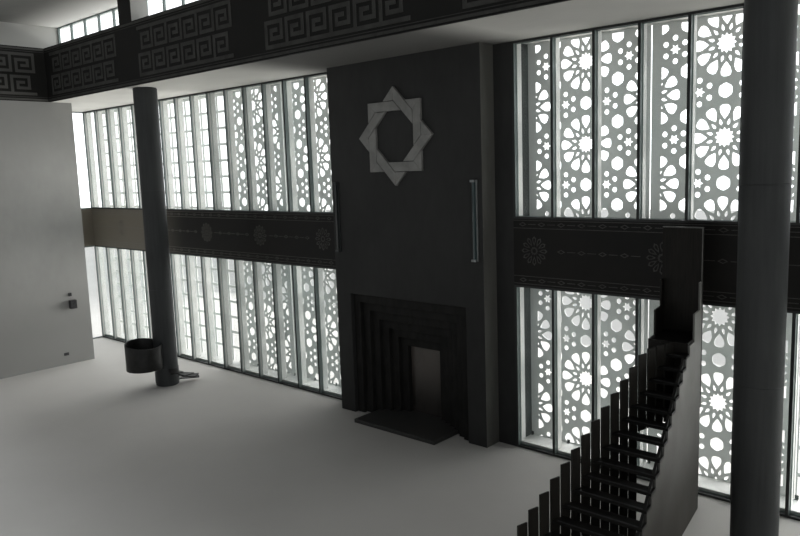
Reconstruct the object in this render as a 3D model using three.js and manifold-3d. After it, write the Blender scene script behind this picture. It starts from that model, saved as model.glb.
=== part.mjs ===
// The prayer end of a modern mosque hall, cut out of its building at full size.
// A glazed wall two storeys high stands behind pierced screens, and a dark block with the stepped
// prayer niche stands in its middle. Round columns carry the low ceiling and a deep ring beam, with
// a strip of high windows and the hall's upper ceiling on it. A pulpit stair and a small round
// lectern stand in front.
// Millimetres. X runs along the wall with 0 at the niche, Y runs out through the wall with 0 in the
// plane of the glazing, and Z runs up from the floor.
import * as THREE from "three";
import { mergeVertices } from "three/addons/utils/BufferGeometryUtils.js";
import Module from "manifold-3d";

const wasm = await Module();
wasm.setup();

// Heights
const soffitZ = 8010;
const slabTop = 8410;
const beamTop = 9564;
const upperSoffitZ = 10200;
const upperSlabTop = 10450;
const bandLow = 3341;
const bandHigh = 4650;

// Plan of the glazed wall
const moduleX = 836.4;
const moduleCount = 15;
const firstMullion = 2572;
const cornerX = firstMullion + moduleCount * moduleX;
const returnModules = 2;
const mullionWidth = 52;
const mullionInner = -30;
const mullionOuter = 75;
const railHeight = 40;
const glassThick = 12;
const finThick = 22;
const finOuter = 258;
const ledgeLow = 3940;
const ledgeHigh = 4060;
const kerbHeight = 90;

// Pierced screens
const screenInner = 560;
const screenThick = 25;
const screenPitch = 2512;
const screenCount = 5;
const screenStart = 2530;
const screenJoint = 24;
const screenMargin = 160;
const rosettePitch = 1514;
const rosettePhase = 1490;
const rosetteColumn = 1248;
const rosetteRows = 5;
const rosettePanels = 2;
const squarePitch = 466;
const squareBar = 70;
const squaresAcross = 6;
const squareColumn = screenPitch / squaresAcross;
const squarePairsUp = 8;

// Rosette openings, as shares of the rosette pitch
const heartTips = 12;
const heartReach = 0.1;
const leafTip = 0.194;
const leafShoulder = 0.312;
const leafHalf = 0.056;
const leafEnd = 0.352;
const knotReach = 0.08;
const knotSides = 6;

// Block with the niche
const blockHalf = 2127;
const blockFront = -469;
const blockBack = 585;
const nicheHalf = 1665;
const nicheHeight = 2860;
const nicheStep = 200;
const nicheStepDepth = 100;
const nicheSteps = 6;
const nicheBack = 262;
const nichePanelThick = 20;
const plinthHeight = 90;
const plinthFront = -1000;
const plinthHalf = 1170;
const plinthSteps = 3;
const plinthGap = 4;
const tongueGap = 2;
const reliefRadius = 1040;
const reliefBar = 200;
const reliefThick = 70;
const reliefCentre = [-75, 6370];
const lampX = 1955;
const lampWidth = 120;
const lampLow = 3820;
const lampHigh = 5430;
const lampDeep = 100;

// Columns, beams and walls
const columnRadius = 308;
const columnSides = 32;
const columnX = 7634;
const columnY = -1870;
const beamFace = -2408;
const beamBack = -1920;
const beamLip = 68;
const pierSeat = 50;
const slabHalf = 15300;
const slabBack = 600;
const wallFace = 12238;
const wallThick = 402;
const wallFreeEnd = -1727;
const hallCut = -4880;
const pierInner = 7070;
const pierOuter = 7700;
const clerestoryInner = -1950;
const clerestoryOuter = -1890;
const eavesReach = 150;

// Pulpit stair: its two sides spread towards the hall
const pulpitBackY = -550;
const pulpitPanelLeft = 5740;
const pulpitPanelThick = 40;
const pulpitPanelTop = 4630;
const pulpitRightX = 6390;
const pulpitRightSpread = 0.14;
const pulpitLeftX = 6443;
const pulpitLeftSpread = 0.234;
const pulpitWallThick = 30;
const treadCount = 18;
const firstRise = 122.5;
const riser = 156.5;
const going = 200.5;
const treadThick = 40;
const treadNose = 15;
const firstTreadY = -4940;
const boardThick = 25;
const boardGap = 37;
const boardFirstTop = 707;
const boardStep = 155;
const floorBoards = 14;
const platformWidth = 650;
const platformThick = 40;
const platformWallThick = 30;
const platformLow = 1715;
const guardMiddle = 3338;
const guardHigh = 3776;
const guardFirstY = -1020;
const guardSecondY = -680;
const toeHeight = 60;
const boardRailDrop = 140;
const boardRailDeep = 60;
const carriageThick = 40;
const carriageFoot = 200;
const carriageDeep = 120;
const carriageTuck = 20;

// Round lectern on the left column
const drumRadius = 475;
const drumSides = 48;
const drumWall = 30;
const drumLow = 570;
const drumHigh = 1265;
const drumFloor = 40;
const drumReach = 640;
const rimSlope = 0.15;
const lecternTreads = 4;
const lecternTreadRise = 122;
const lecternTreadReach = 850;
const lecternTreadAngle = 26;
const lecternTreadThick = 22;
const lecternTreadSlit = 2;
const lecternFirstAngle = 80;
const collarThick = 12;
const collarDrop = 40;

// Clearance where pieces only touch, and how far joined shapes run into each other
const touchGap = 0.4;
const lap = 20;

const finish = {
  charcoal: { color: 0x2c2d2e, roughness: 0.75, metalness: 0 },
  blackBrown: { color: 0x1d1b19, roughness: 0.6, metalness: 0 },
  frame: { color: 0x55585a, roughness: 0.45, metalness: 0.6 },
  fin: { color: 0xb9bcba, roughness: 0.5, metalness: 0.2 },
  screen: { color: 0x9b9c9a, roughness: 0.6, metalness: 0.1 },
  glass: { color: 0xcfdcda, roughness: 0.05, metalness: 0 },
  plaster: { color: 0xd9d7d0, roughness: 0.9, metalness: 0 },
  concrete: { color: 0x4a4c4d, roughness: 0.85, metalness: 0 },
  paleWall: { color: 0xbdbbb4, roughness: 0.8, metalness: 0 },
  lamp: { color: 0xc9cdcd, roughness: 0.3, metalness: 0.5 },
  nicheWarm: { color: 0x8d857b, roughness: 0.8, metalness: 0 },
};

const hall = new THREE.Group();
hall.name = "prayer_hall_front";

function addPiece(name, geometry, look) {
  const mesh = new THREE.Mesh(geometry, new THREE.MeshStandardMaterial(look));
  mesh.name = name;
  hall.add(mesh);
  return mesh;
}

// Corners are set outright, so that two boxes that share a face share it exactly.
function boxShape(x0, x1, y0, y1, z0, z1) {
  const box = new THREE.BoxGeometry(2, 2, 2);
  const place = box.attributes.position;
  for (let i = 0; i < place.count; i += 1) {
    const x = place.getX(i) < 0 ? x0 : x1;
    const y = place.getY(i) < 0 ? y0 : y1;
    const z = place.getZ(i) < 0 ? z0 : z1;
    place.setXYZ(i, x, y, z);
  }
  return box;
}

// A flat outline drawn in X and Z, given a thickness from yFront to yBack.
function upright(shape, yFront, yBack) {
  const body = new THREE.ExtrudeGeometry(shape, {
    depth: yBack - yFront,
    bevelEnabled: false,
    curveSegments: 6,
  });
  body.rotateX(Math.PI / 2);
  body.translate(0, yBack, 0);
  return body;
}

// An outline drawn in plan, raised from z0 to z1.
function planSolid(points, z0, z1) {
  const outline = new THREE.Shape(points.map(([x, y]) => new THREE.Vector2(x, y)));
  const body = new THREE.ExtrudeGeometry(outline, { depth: z1 - z0, bevelEnabled: false });
  body.translate(0, 0, z0);
  return body;
}

function rectangle(x0, x1, z0, z1) {
  return new THREE.Shape([
    new THREE.Vector2(x0, z0),
    new THREE.Vector2(x1, z0),
    new THREE.Vector2(x1, z1),
    new THREE.Vector2(x0, z1),
  ]);
}

function toSolid(geometry) {
  const bare = geometry.clone();
  bare.deleteAttribute("normal");
  bare.deleteAttribute("uv");
  const merged = mergeVertices(bare, 1e-2);
  return new wasm.Manifold(
    new wasm.Mesh({
      numProp: 3,
      vertProperties: merged.attributes.position.array,
      triVerts: new Uint32Array(merged.index.array),
    }),
  );
}

function fromSolid(solid) {
  const mesh = solid.getMesh();
  const geometry = new THREE.BufferGeometry();
  geometry.setAttribute("position", new THREE.BufferAttribute(mesh.vertProperties, 3));
  geometry.setIndex(new THREE.BufferAttribute(mesh.triVerts, 1));
  geometry.computeVertexNormals();
  return geometry;
}

function join(geometries) {
  const solids = geometries.map(toSolid);
  return fromSolid(solids.reduce((whole, next) => whole.add(next)));
}

// A flat sheet with openings cut right through it; each opening is an outline of its own.
function pierced(outline, openings, yFront, yBack) {
  const past = 5;
  const sheet = toSolid(upright(outline, yFront, yBack));
  const cutters = openings.map((opening) => toSolid(upright(opening, yFront - past, yBack + past)));
  return fromSolid(cutters.reduce((left, cutter) => left.subtract(cutter), sheet));
}

// The piece's mirror image on the other side of the niche.
function mirrored(geometry) {
  const copy = geometry.index ? geometry.toNonIndexed() : geometry.clone();
  copy.scale(-1, 1, 1);
  const place = copy.attributes.position;
  for (let i = 0; i < place.count; i += 3) {
    const swap = [place.getX(i), place.getY(i), place.getZ(i)];
    place.setXYZ(i, place.getX(i + 1), place.getY(i + 1), place.getZ(i + 1));
    place.setXYZ(i + 1, ...swap);
  }
  copy.deleteAttribute("uv");
  copy.computeVertexNormals();
  return copy;
}

function addPair(name, geometry, look) {
  addPiece(name + "_right", geometry, look);
  addPiece(name + "_left", mirrored(geometry), look);
}

// The dark block, floor to ceiling, with the square recess of the niche.
function mihrabBlock() {
  const ring = rectangle(-blockHalf, blockHalf, 0, soffitZ);
  const front = new THREE.Shape([
    new THREE.Vector2(-blockHalf, 0),
    new THREE.Vector2(-nicheHalf, 0),
    new THREE.Vector2(-nicheHalf, nicheHeight),
    new THREE.Vector2(nicheHalf, nicheHeight),
    new THREE.Vector2(nicheHalf, 0),
    new THREE.Vector2(blockHalf, 0),
    new THREE.Vector2(blockHalf, soffitZ),
    new THREE.Vector2(-blockHalf, soffitZ),
  ]);
  return join([upright(front, blockFront, nicheBack), upright(ring, nicheBack, blockBack)]);
}

// An upside-down U of one step of the niche.
function nicheArch(outer, outerHeight, inner, innerHeight) {
  return new THREE.Shape([
    new THREE.Vector2(-outer, 0),
    new THREE.Vector2(-inner, 0),
    new THREE.Vector2(-inner, innerHeight),
    new THREE.Vector2(inner, innerHeight),
    new THREE.Vector2(inner, 0),
    new THREE.Vector2(outer, 0),
    new THREE.Vector2(outer, outerHeight),
    new THREE.Vector2(-outer, outerHeight),
  ]);
}

// Six frames, each one step narrower, lower and deeper than the last.
function nicheReveals() {
  const layers = [];
  const panelFront = nicheBack - nichePanelThick;
  for (let k = 1; k <= nicheSteps; k += 1) {
    const inner = nicheHalf - k * nicheStep;
    const innerHeight = nicheHeight - k * nicheStep;
    const from = blockFront + k * nicheStepDepth;
    const to = k === nicheSteps ? panelFront : from + nicheStepDepth;
    layers.push(upright(nicheArch(nicheHalf, nicheHeight, inner, innerHeight), from, to));
  }
  return join(layers);
}

function nichePanel() {
  return boxShape(-nicheHalf, nicheHalf, nicheBack - nichePanelThick, nicheBack, 0, nicheHeight);
}

// The low step in front of the niche. It runs in to the back panel, narrowing with the frames.
function mihrabPlinth() {
  const firstBack = blockFront + plinthSteps * nicheStepDepth - plinthGap;
  const slabs = [boxShape(-plinthHalf, plinthHalf, plinthFront, firstBack, 0, plinthHeight)];
  for (let k = plinthSteps; k <= nicheSteps; k += 1) {
    const half = nicheHalf - k * nicheStep - tongueGap;
    const from = blockFront + k * nicheStepDepth - plinthGap - lap;
    const last = k === nicheSteps;
    const to = last ? nicheBack - nichePanelThick : blockFront + (k + 1) * nicheStepDepth - plinthGap;
    slabs.push(boxShape(-half, half, from, to, 0, plinthHeight));
  }
  return join(slabs);
}

// A square band turned by an angle, for the eight-pointed star.
function squareBand(turn) {
  const side = (radius) =>
    [0, 1, 2, 3].map((k) => {
      const angle = turn + (k * Math.PI) / 2;
      return new THREE.Vector2(
        reliefCentre[0] + radius * Math.cos(angle),
        reliefCentre[1] + radius * Math.sin(angle),
      );
    });
  const outline = new THREE.Shape(side(reliefRadius));
  const opening = new THREE.Shape(side(reliefRadius - reliefBar * Math.SQRT2));
  return pierced(outline, [opening], blockFront - reliefThick, blockFront);
}

function glazingFrame(low, high) {
  const half = mullionWidth / 2;
  const end = cornerX + half;
  const returnEnd = -returnModules * moduleX - half;
  const bars = [];
  for (const [z0, z1] of [[low, low + railHeight], [high - railHeight, high]]) {
    bars.push(boxShape(firstMullion - half, end, mullionInner, mullionOuter, z0, z1));
    bars.push(boxShape(cornerX - half, end, returnEnd, mullionOuter, z0, z1));
  }
  for (let k = 0; k <= moduleCount; k += 1) {
    const x = firstMullion + k * moduleX;
    bars.push(boxShape(x - half, x + half, mullionInner, mullionOuter, low, high));
  }
  for (let k = 1; k <= returnModules; k += 1) {
    const y = -k * moduleX;
    bars.push(boxShape(cornerX - half, end, y - half, y + half, low, high));
  }
  return join(bars);
}

// An L in plan, from the flank wall to the corner and back along the building's side.
function cornerSheet(inner, outer, sideInner, low, high) {
  const half = mullionWidth / 2;
  const start = firstMullion - half;
  const outerX = cornerX + half + glassThick;
  const sheetEnd = -returnModules * moduleX - half;
  return planSolid(
    [
      [start, inner],
      [sideInner, inner],
      [sideInner, sheetEnd],
      [outerX, sheetEnd],
      [outerX, outer],
      [start, outer],
    ],
    low,
    high,
  );
}

// One sheet a storey, folded round the corner.
function glassSheet(low, high) {
  return cornerSheet(mullionOuter, mullionOuter + glassThick, cornerX + mullionWidth / 2, low, high);
}

function spandrel() {
  return cornerSheet(mullionInner, mullionOuter + glassThick, cornerX - mullionWidth / 2, bandLow, bandHigh);
}

// Upright fins behind the mullions, with the ledge and kerb that hold the screens off the glass.
function screenCarrier() {
  const inner = mullionOuter + glassThick;
  const start = firstMullion - mullionWidth / 2;
  const end = cornerX + mullionWidth / 2;
  const bars = [
    boxShape(start, end, inner, screenInner, 0, kerbHeight),
    boxShape(start, end, inner, screenInner, ledgeLow, ledgeHigh),
  ];
  for (let k = 0; k <= moduleCount; k += 1) {
    const x = firstMullion + k * moduleX;
    bars.push(boxShape(x - finThick / 2, x + finThick / 2, inner, finOuter, kerbHeight / 2, soffitZ));
  }
  return join(bars);
}

function screenEdges(index) {
  const start = screenStart + index * screenPitch;
  return [start + screenJoint / 2, start + screenPitch - screenJoint / 2];
}

// An opening from pairs of distance and aside, in rosette pitches, turned and moved to a centre.
function openingAt(x, z, turn, pairs) {
  const points = pairs.map(([along, aside]) => {
    const px = along * Math.cos(turn) - aside * Math.sin(turn);
    const pz = along * Math.sin(turn) + aside * Math.cos(turn);
    return new THREE.Vector2(x + rosettePitch * px, z + rosettePitch * pz);
  });
  return new THREE.Shape(points);
}

function evenSides(reach, sides) {
  const pairs = [];
  for (let k = 0; k < sides; k += 1) {
    const angle = (k * 2 * Math.PI) / sides;
    pairs.push([reach * Math.cos(angle), reach * Math.sin(angle)]);
  }
  return pairs;
}

// Rosette screens: a round heart in a ring of leaves, with a knot midway between neighbours.
function rosetteScreen(index) {
  const [x0, x1] = screenEdges(index);
  const middle = (x0 + x1) / 2;
  const leaf = [[leafTip, 0], [leafShoulder, leafHalf], [leafEnd, 0], [leafShoulder, -leafHalf]];
  const heart = evenSides(heartReach, heartTips);
  const knot = evenSides(knotReach, knotSides);
  const openings = [];
  for (let row = 0; row < rosetteRows; row += 1) {
    const z = rosettePhase + row * rosettePitch;
    openings.push(openingAt(middle, z, 0, heart));
    for (let k = 0; k < heartTips; k += 1) {
      const turn = (k * 2 * Math.PI) / heartTips;
      const reach = z + rosettePitch * leafEnd * Math.sin(turn);
      if (reach < soffitZ - screenJoint) openings.push(openingAt(middle, z, turn, leaf));
    }
    openings.push(openingAt(middle, z - rosettePitch / 2, Math.PI / 2, knot));
    for (const side of [-1, 1]) {
      for (const lift of [-1, 1]) {
        const x = middle + (side * rosetteColumn) / 2;
        openings.push(openingAt(x, z + (lift * rosettePitch) / 4, (side * lift * Math.PI) / 6, knot));
      }
    }
  }
  const sheet = rectangle(x0, x1, 0, soffitZ);
  return pierced(sheet, openings, screenInner, screenInner + screenThick);
}

// Square-grid screens, with the openings joined in pairs one above the other.
function squareScreen(index) {
  const [x0, x1] = screenEdges(index);
  const sheet = rectangle(x0, x1, 0, soffitZ);
  const margin = (x1 - x0 - squaresAcross * squareColumn + squareBar) / 2;
  const rowPitch = 2 * squarePitch;
  const foot = (soffitZ - squarePairsUp * rowPitch + squareBar) / 2;
  const openings = [];
  for (let i = 0; i < squaresAcross; i += 1) {
    for (let j = 0; j < squarePairsUp; j += 1) {
      const x = x0 + margin + i * squareColumn;
      const z = foot + j * rowPitch;
      openings.push(rectangle(x, x + squareColumn - squareBar, z, z + rowPitch - squareBar));
    }
  }
  return pierced(sheet, openings, screenInner, screenInner + screenThick);
}

function column(side) {
  const shaft = new THREE.CylinderGeometry(columnRadius, columnRadius, soffitZ, columnSides);
  shaft.rotateX(Math.PI / 2);
  shaft.rotateZ(Math.PI / columnSides);
  shaft.translate(side * columnX, columnY, soffitZ / 2);
  return shaft;
}

// The front beam with its lip, the two side arms over the plaster walls, and the window piers.
function ringBeam() {
  const armOuter = wallFace + wallThick;
  const slabStart = beamFace + beamLip;
  const pieces = [
    boxShape(-wallFace, wallFace, beamFace, slabStart, soffitZ, beamTop),
    boxShape(-armOuter, armOuter, slabStart - lap, beamBack, slabTop, beamTop),
  ];
  for (const side of [-1, 1]) {
    const x0 = side < 0 ? -armOuter : wallFace - lap;
    const x1 = side < 0 ? -wallFace + lap : armOuter;
    pieces.push(boxShape(x0, x1, hallCut, slabStart, soffitZ, beamTop));
    const p0 = side < 0 ? -pierOuter : pierInner;
    const p1 = side < 0 ? -pierInner : pierOuter;
    pieces.push(boxShape(p0, p1, beamFace, clerestoryInner, beamTop - pierSeat, upperSoffitZ));
  }
  const whole = pieces.map(toSolid).reduce((sum, next) => sum.add(next));
  const hallSpace = boxShape(-wallFace, wallFace, hallCut - lap, beamFace, soffitZ - lap, upperSoffitZ);
  return fromSolid(whole.subtract(toSolid(hallSpace)));
}

function clerestoryFrame() {
  const half = mullionWidth / 2;
  const count = Math.round((2 * wallFace) / moduleX);
  const pitch = (2 * wallFace - mullionWidth) / count;
  const bars = [
    boxShape(-wallFace, wallFace, clerestoryInner, clerestoryOuter, beamTop, beamTop + half),
    boxShape(-wallFace, wallFace, clerestoryInner, clerestoryOuter, upperSoffitZ - half, upperSoffitZ),
  ];
  for (let k = 0; k <= count; k += 1) {
    const x = -wallFace + half + k * pitch;
    bars.push(boxShape(x - half, x + half, clerestoryInner, clerestoryOuter, beamTop, upperSoffitZ));
  }
  return join(bars);
}

// The hall's upper ceiling and the plain side walls under it.
function upperCeiling() {
  const outer = wallFace + wallThick;
  const arch = new THREE.Shape([
    new THREE.Vector2(-outer, beamTop),
    new THREE.Vector2(-wallFace, beamTop),
    new THREE.Vector2(-wallFace, upperSoffitZ),
    new THREE.Vector2(wallFace, upperSoffitZ),
    new THREE.Vector2(wallFace, beamTop),
    new THREE.Vector2(outer, beamTop),
    new THREE.Vector2(outer, upperSlabTop),
    new THREE.Vector2(-outer, upperSlabTop),
  ]);
  const eavesEnd = clerestoryOuter + eavesReach;
  const eaves = boxShape(-outer, outer, clerestoryOuter - lap, eavesEnd, upperSoffitZ, upperSlabTop);
  return join([upright(arch, hallCut, clerestoryOuter), eaves]);
}

function rightX(y) {
  return pulpitRightX + pulpitRightSpread * (pulpitBackY - y);
}

function leftX(y) {
  return pulpitLeftX - pulpitLeftSpread * (pulpitBackY - y);
}

function treadY(n) {
  return firstTreadY + (n - 1) * going;
}

function treadTop(n) {
  return firstRise + (n - 1) * riser;
}

// A four-sided slab whose ends follow the two spreading sides of the stair.
function spreadSlab(y0, y1, z0, z1, insetLeft, insetRight) {
  return planSolid(
    [
      [leftX(y0) + insetLeft, y0],
      [rightX(y0) - insetRight, y0],
      [rightX(y1) - insetRight, y1],
      [leftX(y1) + insetLeft, y1],
    ],
    z0,
    z1,
  );
}

// A side of the pulpit: an outline in Y and Z, sheared in X to follow its spread.
function spreadSide(points, xAt, thick) {
  const outline = new THREE.Shape(points.map(([y, z]) => new THREE.Vector2(y, z)));
  const body = new THREE.ExtrudeGeometry(outline, { depth: thick, bevelEnabled: false });
  const place = body.attributes.position;
  for (let i = 0; i < place.count; i += 1) {
    const y = place.getX(i);
    const z = place.getY(i);
    const across = place.getZ(i);
    place.setXYZ(i, xAt(y) + across, y, z);
  }
  body.computeVertexNormals();
  return body;
}

// Pale solid wall under the right ends of the treads, rising to guard the platform.
function pulpitWall() {
  const platformSeat = treadTop(treadCount + 1) - platformThick;
  const points = [[pulpitBackY, 0], [pulpitBackY, guardHigh], [guardSecondY, guardHigh]];
  points.push([guardSecondY, guardMiddle], [guardFirstY, guardMiddle], [guardFirstY, platformSeat]);
  points.push([treadY(treadCount + 1) + treadNose, platformSeat]);
  for (let n = treadCount; n >= 1; n -= 1) {
    const seat = treadTop(n) - treadThick;
    points.push([treadY(n + 1) + treadNose, seat], [treadY(n) + treadNose, seat]);
  }
  points.push([treadY(1) + treadNose, 0]);
  return spreadSide(points.reverse(), (y) => rightX(y) - pulpitWallThick, pulpitWallThick);
}

// Dark upright boards on the left, stepped with the stair up to the platform's level, on a toe
// board and a sloping rail.
// The last few hang from the rail beside the platform and stop level with its soffit.
function pulpitBoards() {
  const pieces = [];
  const boardsEnd = treadY(treadCount + 1) - touchGap;
  for (let n = 1; n <= treadCount; n += 1) {
    const y0 = treadY(n);
    const y1 = n === treadCount ? boardsEnd : y0 + going - boardGap;
    const foot = n > floorBoards ? platformLow : 0;
    const top = Math.min(boardFirstTop + (n - 1) * boardStep, treadTop(treadCount + 1));
    pieces.push([[y0, foot], [y1, foot], [y1, top], [y0, top]]);
  }
  const toeEnd = treadY(floorBoards + 1) - boardGap;
  pieces.push([[treadY(1), 0], [toeEnd, 0], [toeEnd, toeHeight], [treadY(1), toeHeight]]);
  const railStart = treadTop(1) - boardRailDrop + toeHeight;
  const railTop = treadTop(treadCount + 1) - boardRailDrop;
  pieces.push([
    [treadY(1), railStart],
    [boardsEnd, railTop],
    [boardsEnd, railTop + boardRailDeep],
    [treadY(1), railStart + boardRailDeep],
  ]);
  return join(pieces.map((points) => spreadSide(points, (y) => leftX(y) - boardThick, boardThick)));
}

// Open treads between the boards and the pale wall, on a sloping beam close against the wall.
function pulpitFlight() {
  const slabs = [];
  const flightEnd = treadY(treadCount + 1) - touchGap;
  for (let n = 1; n <= treadCount; n += 1) {
    const y0 = treadY(n);
    const y1 = Math.min(y0 + going + treadNose, flightEnd);
    slabs.push(spreadSlab(y0, y1 - touchGap, treadTop(n) - treadThick, treadTop(n), touchGap, 0));
  }
  const footStart = treadY(1) + carriageThick;
  const beamTop = treadTop(treadCount) - carriageTuck;
  const beam = [
    [footStart, 0],
    [footStart + carriageFoot, 0],
    [flightEnd, beamTop - carriageDeep],
    [flightEnd, beamTop],
    [treadY(treadCount), beamTop],
    [footStart, treadTop(1) - carriageTuck],
  ];
  const beamRight = pulpitWallThick + touchGap;
  slabs.push(spreadSide(beam, (y) => rightX(y) - beamRight - carriageThick, carriageThick));
  return join(slabs);
}

// The platform's closed box, hung on the pale wall: front, left side, soffit, floor and tall back.
function pulpitPlatform() {
  const start = treadY(treadCount + 1);
  const top = treadTop(treadCount + 1);
  const inner = (y) => rightX(y) - pulpitWallThick - touchGap;
  const outer = (y) => rightX(y) - platformWidth;
  const slab = (y0, y1, z0, z1) =>
    planSolid([[outer(y0), y0], [inner(y0), y0], [inner(y1), y1], [outer(y1), y1]], z0, z1);
  const side = [
    [start, platformLow],
    [pulpitBackY, platformLow],
    [pulpitBackY, guardHigh],
    [guardSecondY, guardHigh],
    [guardSecondY, guardMiddle],
    [guardFirstY, guardMiddle],
    [guardFirstY, top],
    [start, top],
  ];
  const backY = pulpitBackY + pulpitPanelThick;
  const back = rectangle(pulpitPanelLeft, pulpitRightX, platformLow, pulpitPanelTop);
  return join([
    slab(start, pulpitBackY, top - platformThick, top),
    slab(start, pulpitBackY, platformLow, platformLow + platformWallThick),
    slab(start, start + platformWallThick, platformLow, top),
    spreadSide(side, outer, platformWallThick),
    upright(back, pulpitBackY, backY),
  ]);
}

// An upright cylinder on the lectern's axis or the column's.
function uprightCylinder(radius, sides, y, low, high) {
  const shape = new THREE.CylinderGeometry(radius, radius, high - low, sides);
  shape.rotateX(Math.PI / 2);
  shape.rotateZ(Math.PI / sides);
  shape.translate(-columnX, y, (low + high) / 2);
  return shape;
}

// Open-topped drum that clasps the front of the left column. Its rim rises away from the niche.
function lecternDrum() {
  const drumY = columnY - drumReach;
  const rise = drumRadius * rimSlope;
  const clear = drumHigh + rise + lap;
  const boreRadius = drumRadius - drumWall;
  const drum = uprightCylinder(drumRadius, drumSides, drumY, drumLow, drumHigh + rise);
  const bowl = uprightCylinder(boreRadius, drumSides, drumY, drumLow + drumFloor, clear);
  const shaft = uprightCylinder(columnRadius, columnSides, columnY, 0, soffitZ);
  const near = -columnX + drumRadius + lap;
  const far = -columnX - drumRadius - lap;
  const fall = (drumRadius + lap) * rimSlope;
  const above = new THREE.Shape([
    new THREE.Vector2(near, drumHigh - fall),
    new THREE.Vector2(near, clear),
    new THREE.Vector2(far, clear),
    new THREE.Vector2(far, drumHigh + fall),
  ]);
  const trimmed = upright(above, drumY - drumRadius - lap, drumY + drumRadius + lap);
  const cuts = [bowl, shaft, trimmed].map(toSolid);
  return fromSolid(cuts.reduce((left, cut) => left.subtract(cut), toSolid(drum)));
}

// Curved blades on a collar round the left column, rising to the drum.
function lecternSteps() {
  const inner = columnRadius + 1;
  const collarTop = lecternTreads * lecternTreadRise;
  const ring = [
    [inner, lecternTreadRise - collarDrop],
    [inner + collarThick, lecternTreadRise - collarDrop],
    [inner + collarThick, collarTop],
    [inner, collarTop],
    [inner, lecternTreadRise - collarDrop],
  ].map(([r, z]) => new THREE.Vector2(r, z));
  const collar = new THREE.LatheGeometry(ring, columnSides * 2);
  collar.rotateX(Math.PI / 2);
  const pieces = [collar];
  for (let k = 0; k < lecternTreads; k += 1) {
    const from = THREE.MathUtils.degToRad(lecternFirstAngle - (k + 1) * lecternTreadAngle);
    const to = THREE.MathUtils.degToRad(lecternFirstAngle - k * lecternTreadAngle - lecternTreadSlit);
    const plan = new THREE.Shape();
    const near = inner + collarThick / 2;
    plan.moveTo(near * Math.cos(from), near * Math.sin(from));
    plan.absarc(0, 0, lecternTreadReach, from, to, false);
    plan.lineTo(near * Math.cos(to), near * Math.sin(to));
    const tread = new THREE.ExtrudeGeometry(plan, {
      depth: lecternTreadThick,
      bevelEnabled: false,
      curveSegments: 8,
    });
    tread.translate(0, 0, (k + 1) * lecternTreadRise - lecternTreadThick);
    pieces.push(tread);
  }
  const whole = join(pieces);
  whole.translate(-columnX, columnY, 0);
  return whole;
}

function wallLamp() {
  const half = lampWidth / 2;
  return boxShape(lampX - half, lampX + half, blockFront - lampDeep, blockFront, lampLow, lampHigh);
}

function flankWall() {
  const end = firstMullion - mullionWidth / 2;
  return boxShape(blockHalf, end, mullionInner, screenInner, 0, soffitZ);
}

function sideWall() {
  return boxShape(wallFace, wallFace + wallThick, hallCut, wallFreeEnd, 0, soffitZ);
}

addPiece("mihrab_block", mihrabBlock(), finish.charcoal);
addPiece("niche_steps", nicheReveals(), finish.charcoal);
addPiece("niche_back_panel", nichePanel(), finish.nicheWarm);
addPiece("mihrab_plinth", mihrabPlinth(), finish.charcoal);
addPiece("star_relief", join([squareBand(0), squareBand(Math.PI / 4)]), finish.concrete);
addPair("wall_lamp", wallLamp(), finish.lamp);
addPair("flank_wall", flankWall(), finish.charcoal);
addPair("glazing_frame_lower", glazingFrame(0, bandLow), finish.frame);
addPair("glazing_frame_upper", glazingFrame(bandHigh, soffitZ), finish.frame);
addPair("glass_lower", glassSheet(0, bandLow), finish.glass);
addPair("glass_upper", glassSheet(bandHigh, soffitZ), finish.glass);
addPair("spandrel_band", spandrel(), finish.blackBrown);
addPair("screen_carrier", screenCarrier(), finish.fin);
for (let index = 0; index < screenCount; index += 1) {
  const panel = index < rosettePanels ? rosetteScreen(index) : squareScreen(index);
  addPair("screen_" + (index + 1), panel, finish.screen);
}
addPiece("column_right", column(1), finish.concrete);
addPiece("column_left", column(-1), finish.concrete);
addPiece(
  "low_ceiling",
  boxShape(-slabHalf, slabHalf, beamFace + beamLip, slabBack, soffitZ, slabTop),
  finish.plaster,
);
addPiece("ring_beam", ringBeam(), finish.blackBrown);
addPair("side_wall", sideWall(), finish.plaster);
addPiece("clerestory_frame", clerestoryFrame(), finish.frame);
addPiece(
  "clerestory_glass",
  boxShape(-wallFace, wallFace, clerestoryOuter, clerestoryOuter + glassThick, beamTop, upperSoffitZ),
  finish.glass,
);
addPiece("upper_ceiling", upperCeiling(), finish.plaster);
addPiece("pulpit_side_wall", pulpitWall(), finish.paleWall);
addPiece("pulpit_boards", pulpitBoards(), finish.blackBrown);
addPiece("pulpit_flight", pulpitFlight(), finish.blackBrown);
addPiece("pulpit_platform", pulpitPlatform(), finish.blackBrown);
addPiece("lectern_drum", lecternDrum(), finish.charcoal);
addPiece("lectern_steps", lecternSteps(), finish.charcoal);

export default hall;
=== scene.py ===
"""The prayer end of a modern mosque hall, at full size, seen from its gallery.

Pierced screens stand outside a glazed wall two storeys high, and a dark block with a stepped niche
stands in its middle. Round columns carry the low ceiling and a deep beam with a raised fret. A
pulpit stair and a small round lectern stand on the floor in front.
Metres: X runs along the wall with 0 at the niche, Y out through the wall with 0 at the glazing, and
Z up from the floor.
"""
import math

import bmesh
import bpy
from mathutils import Matrix, Vector


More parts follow.
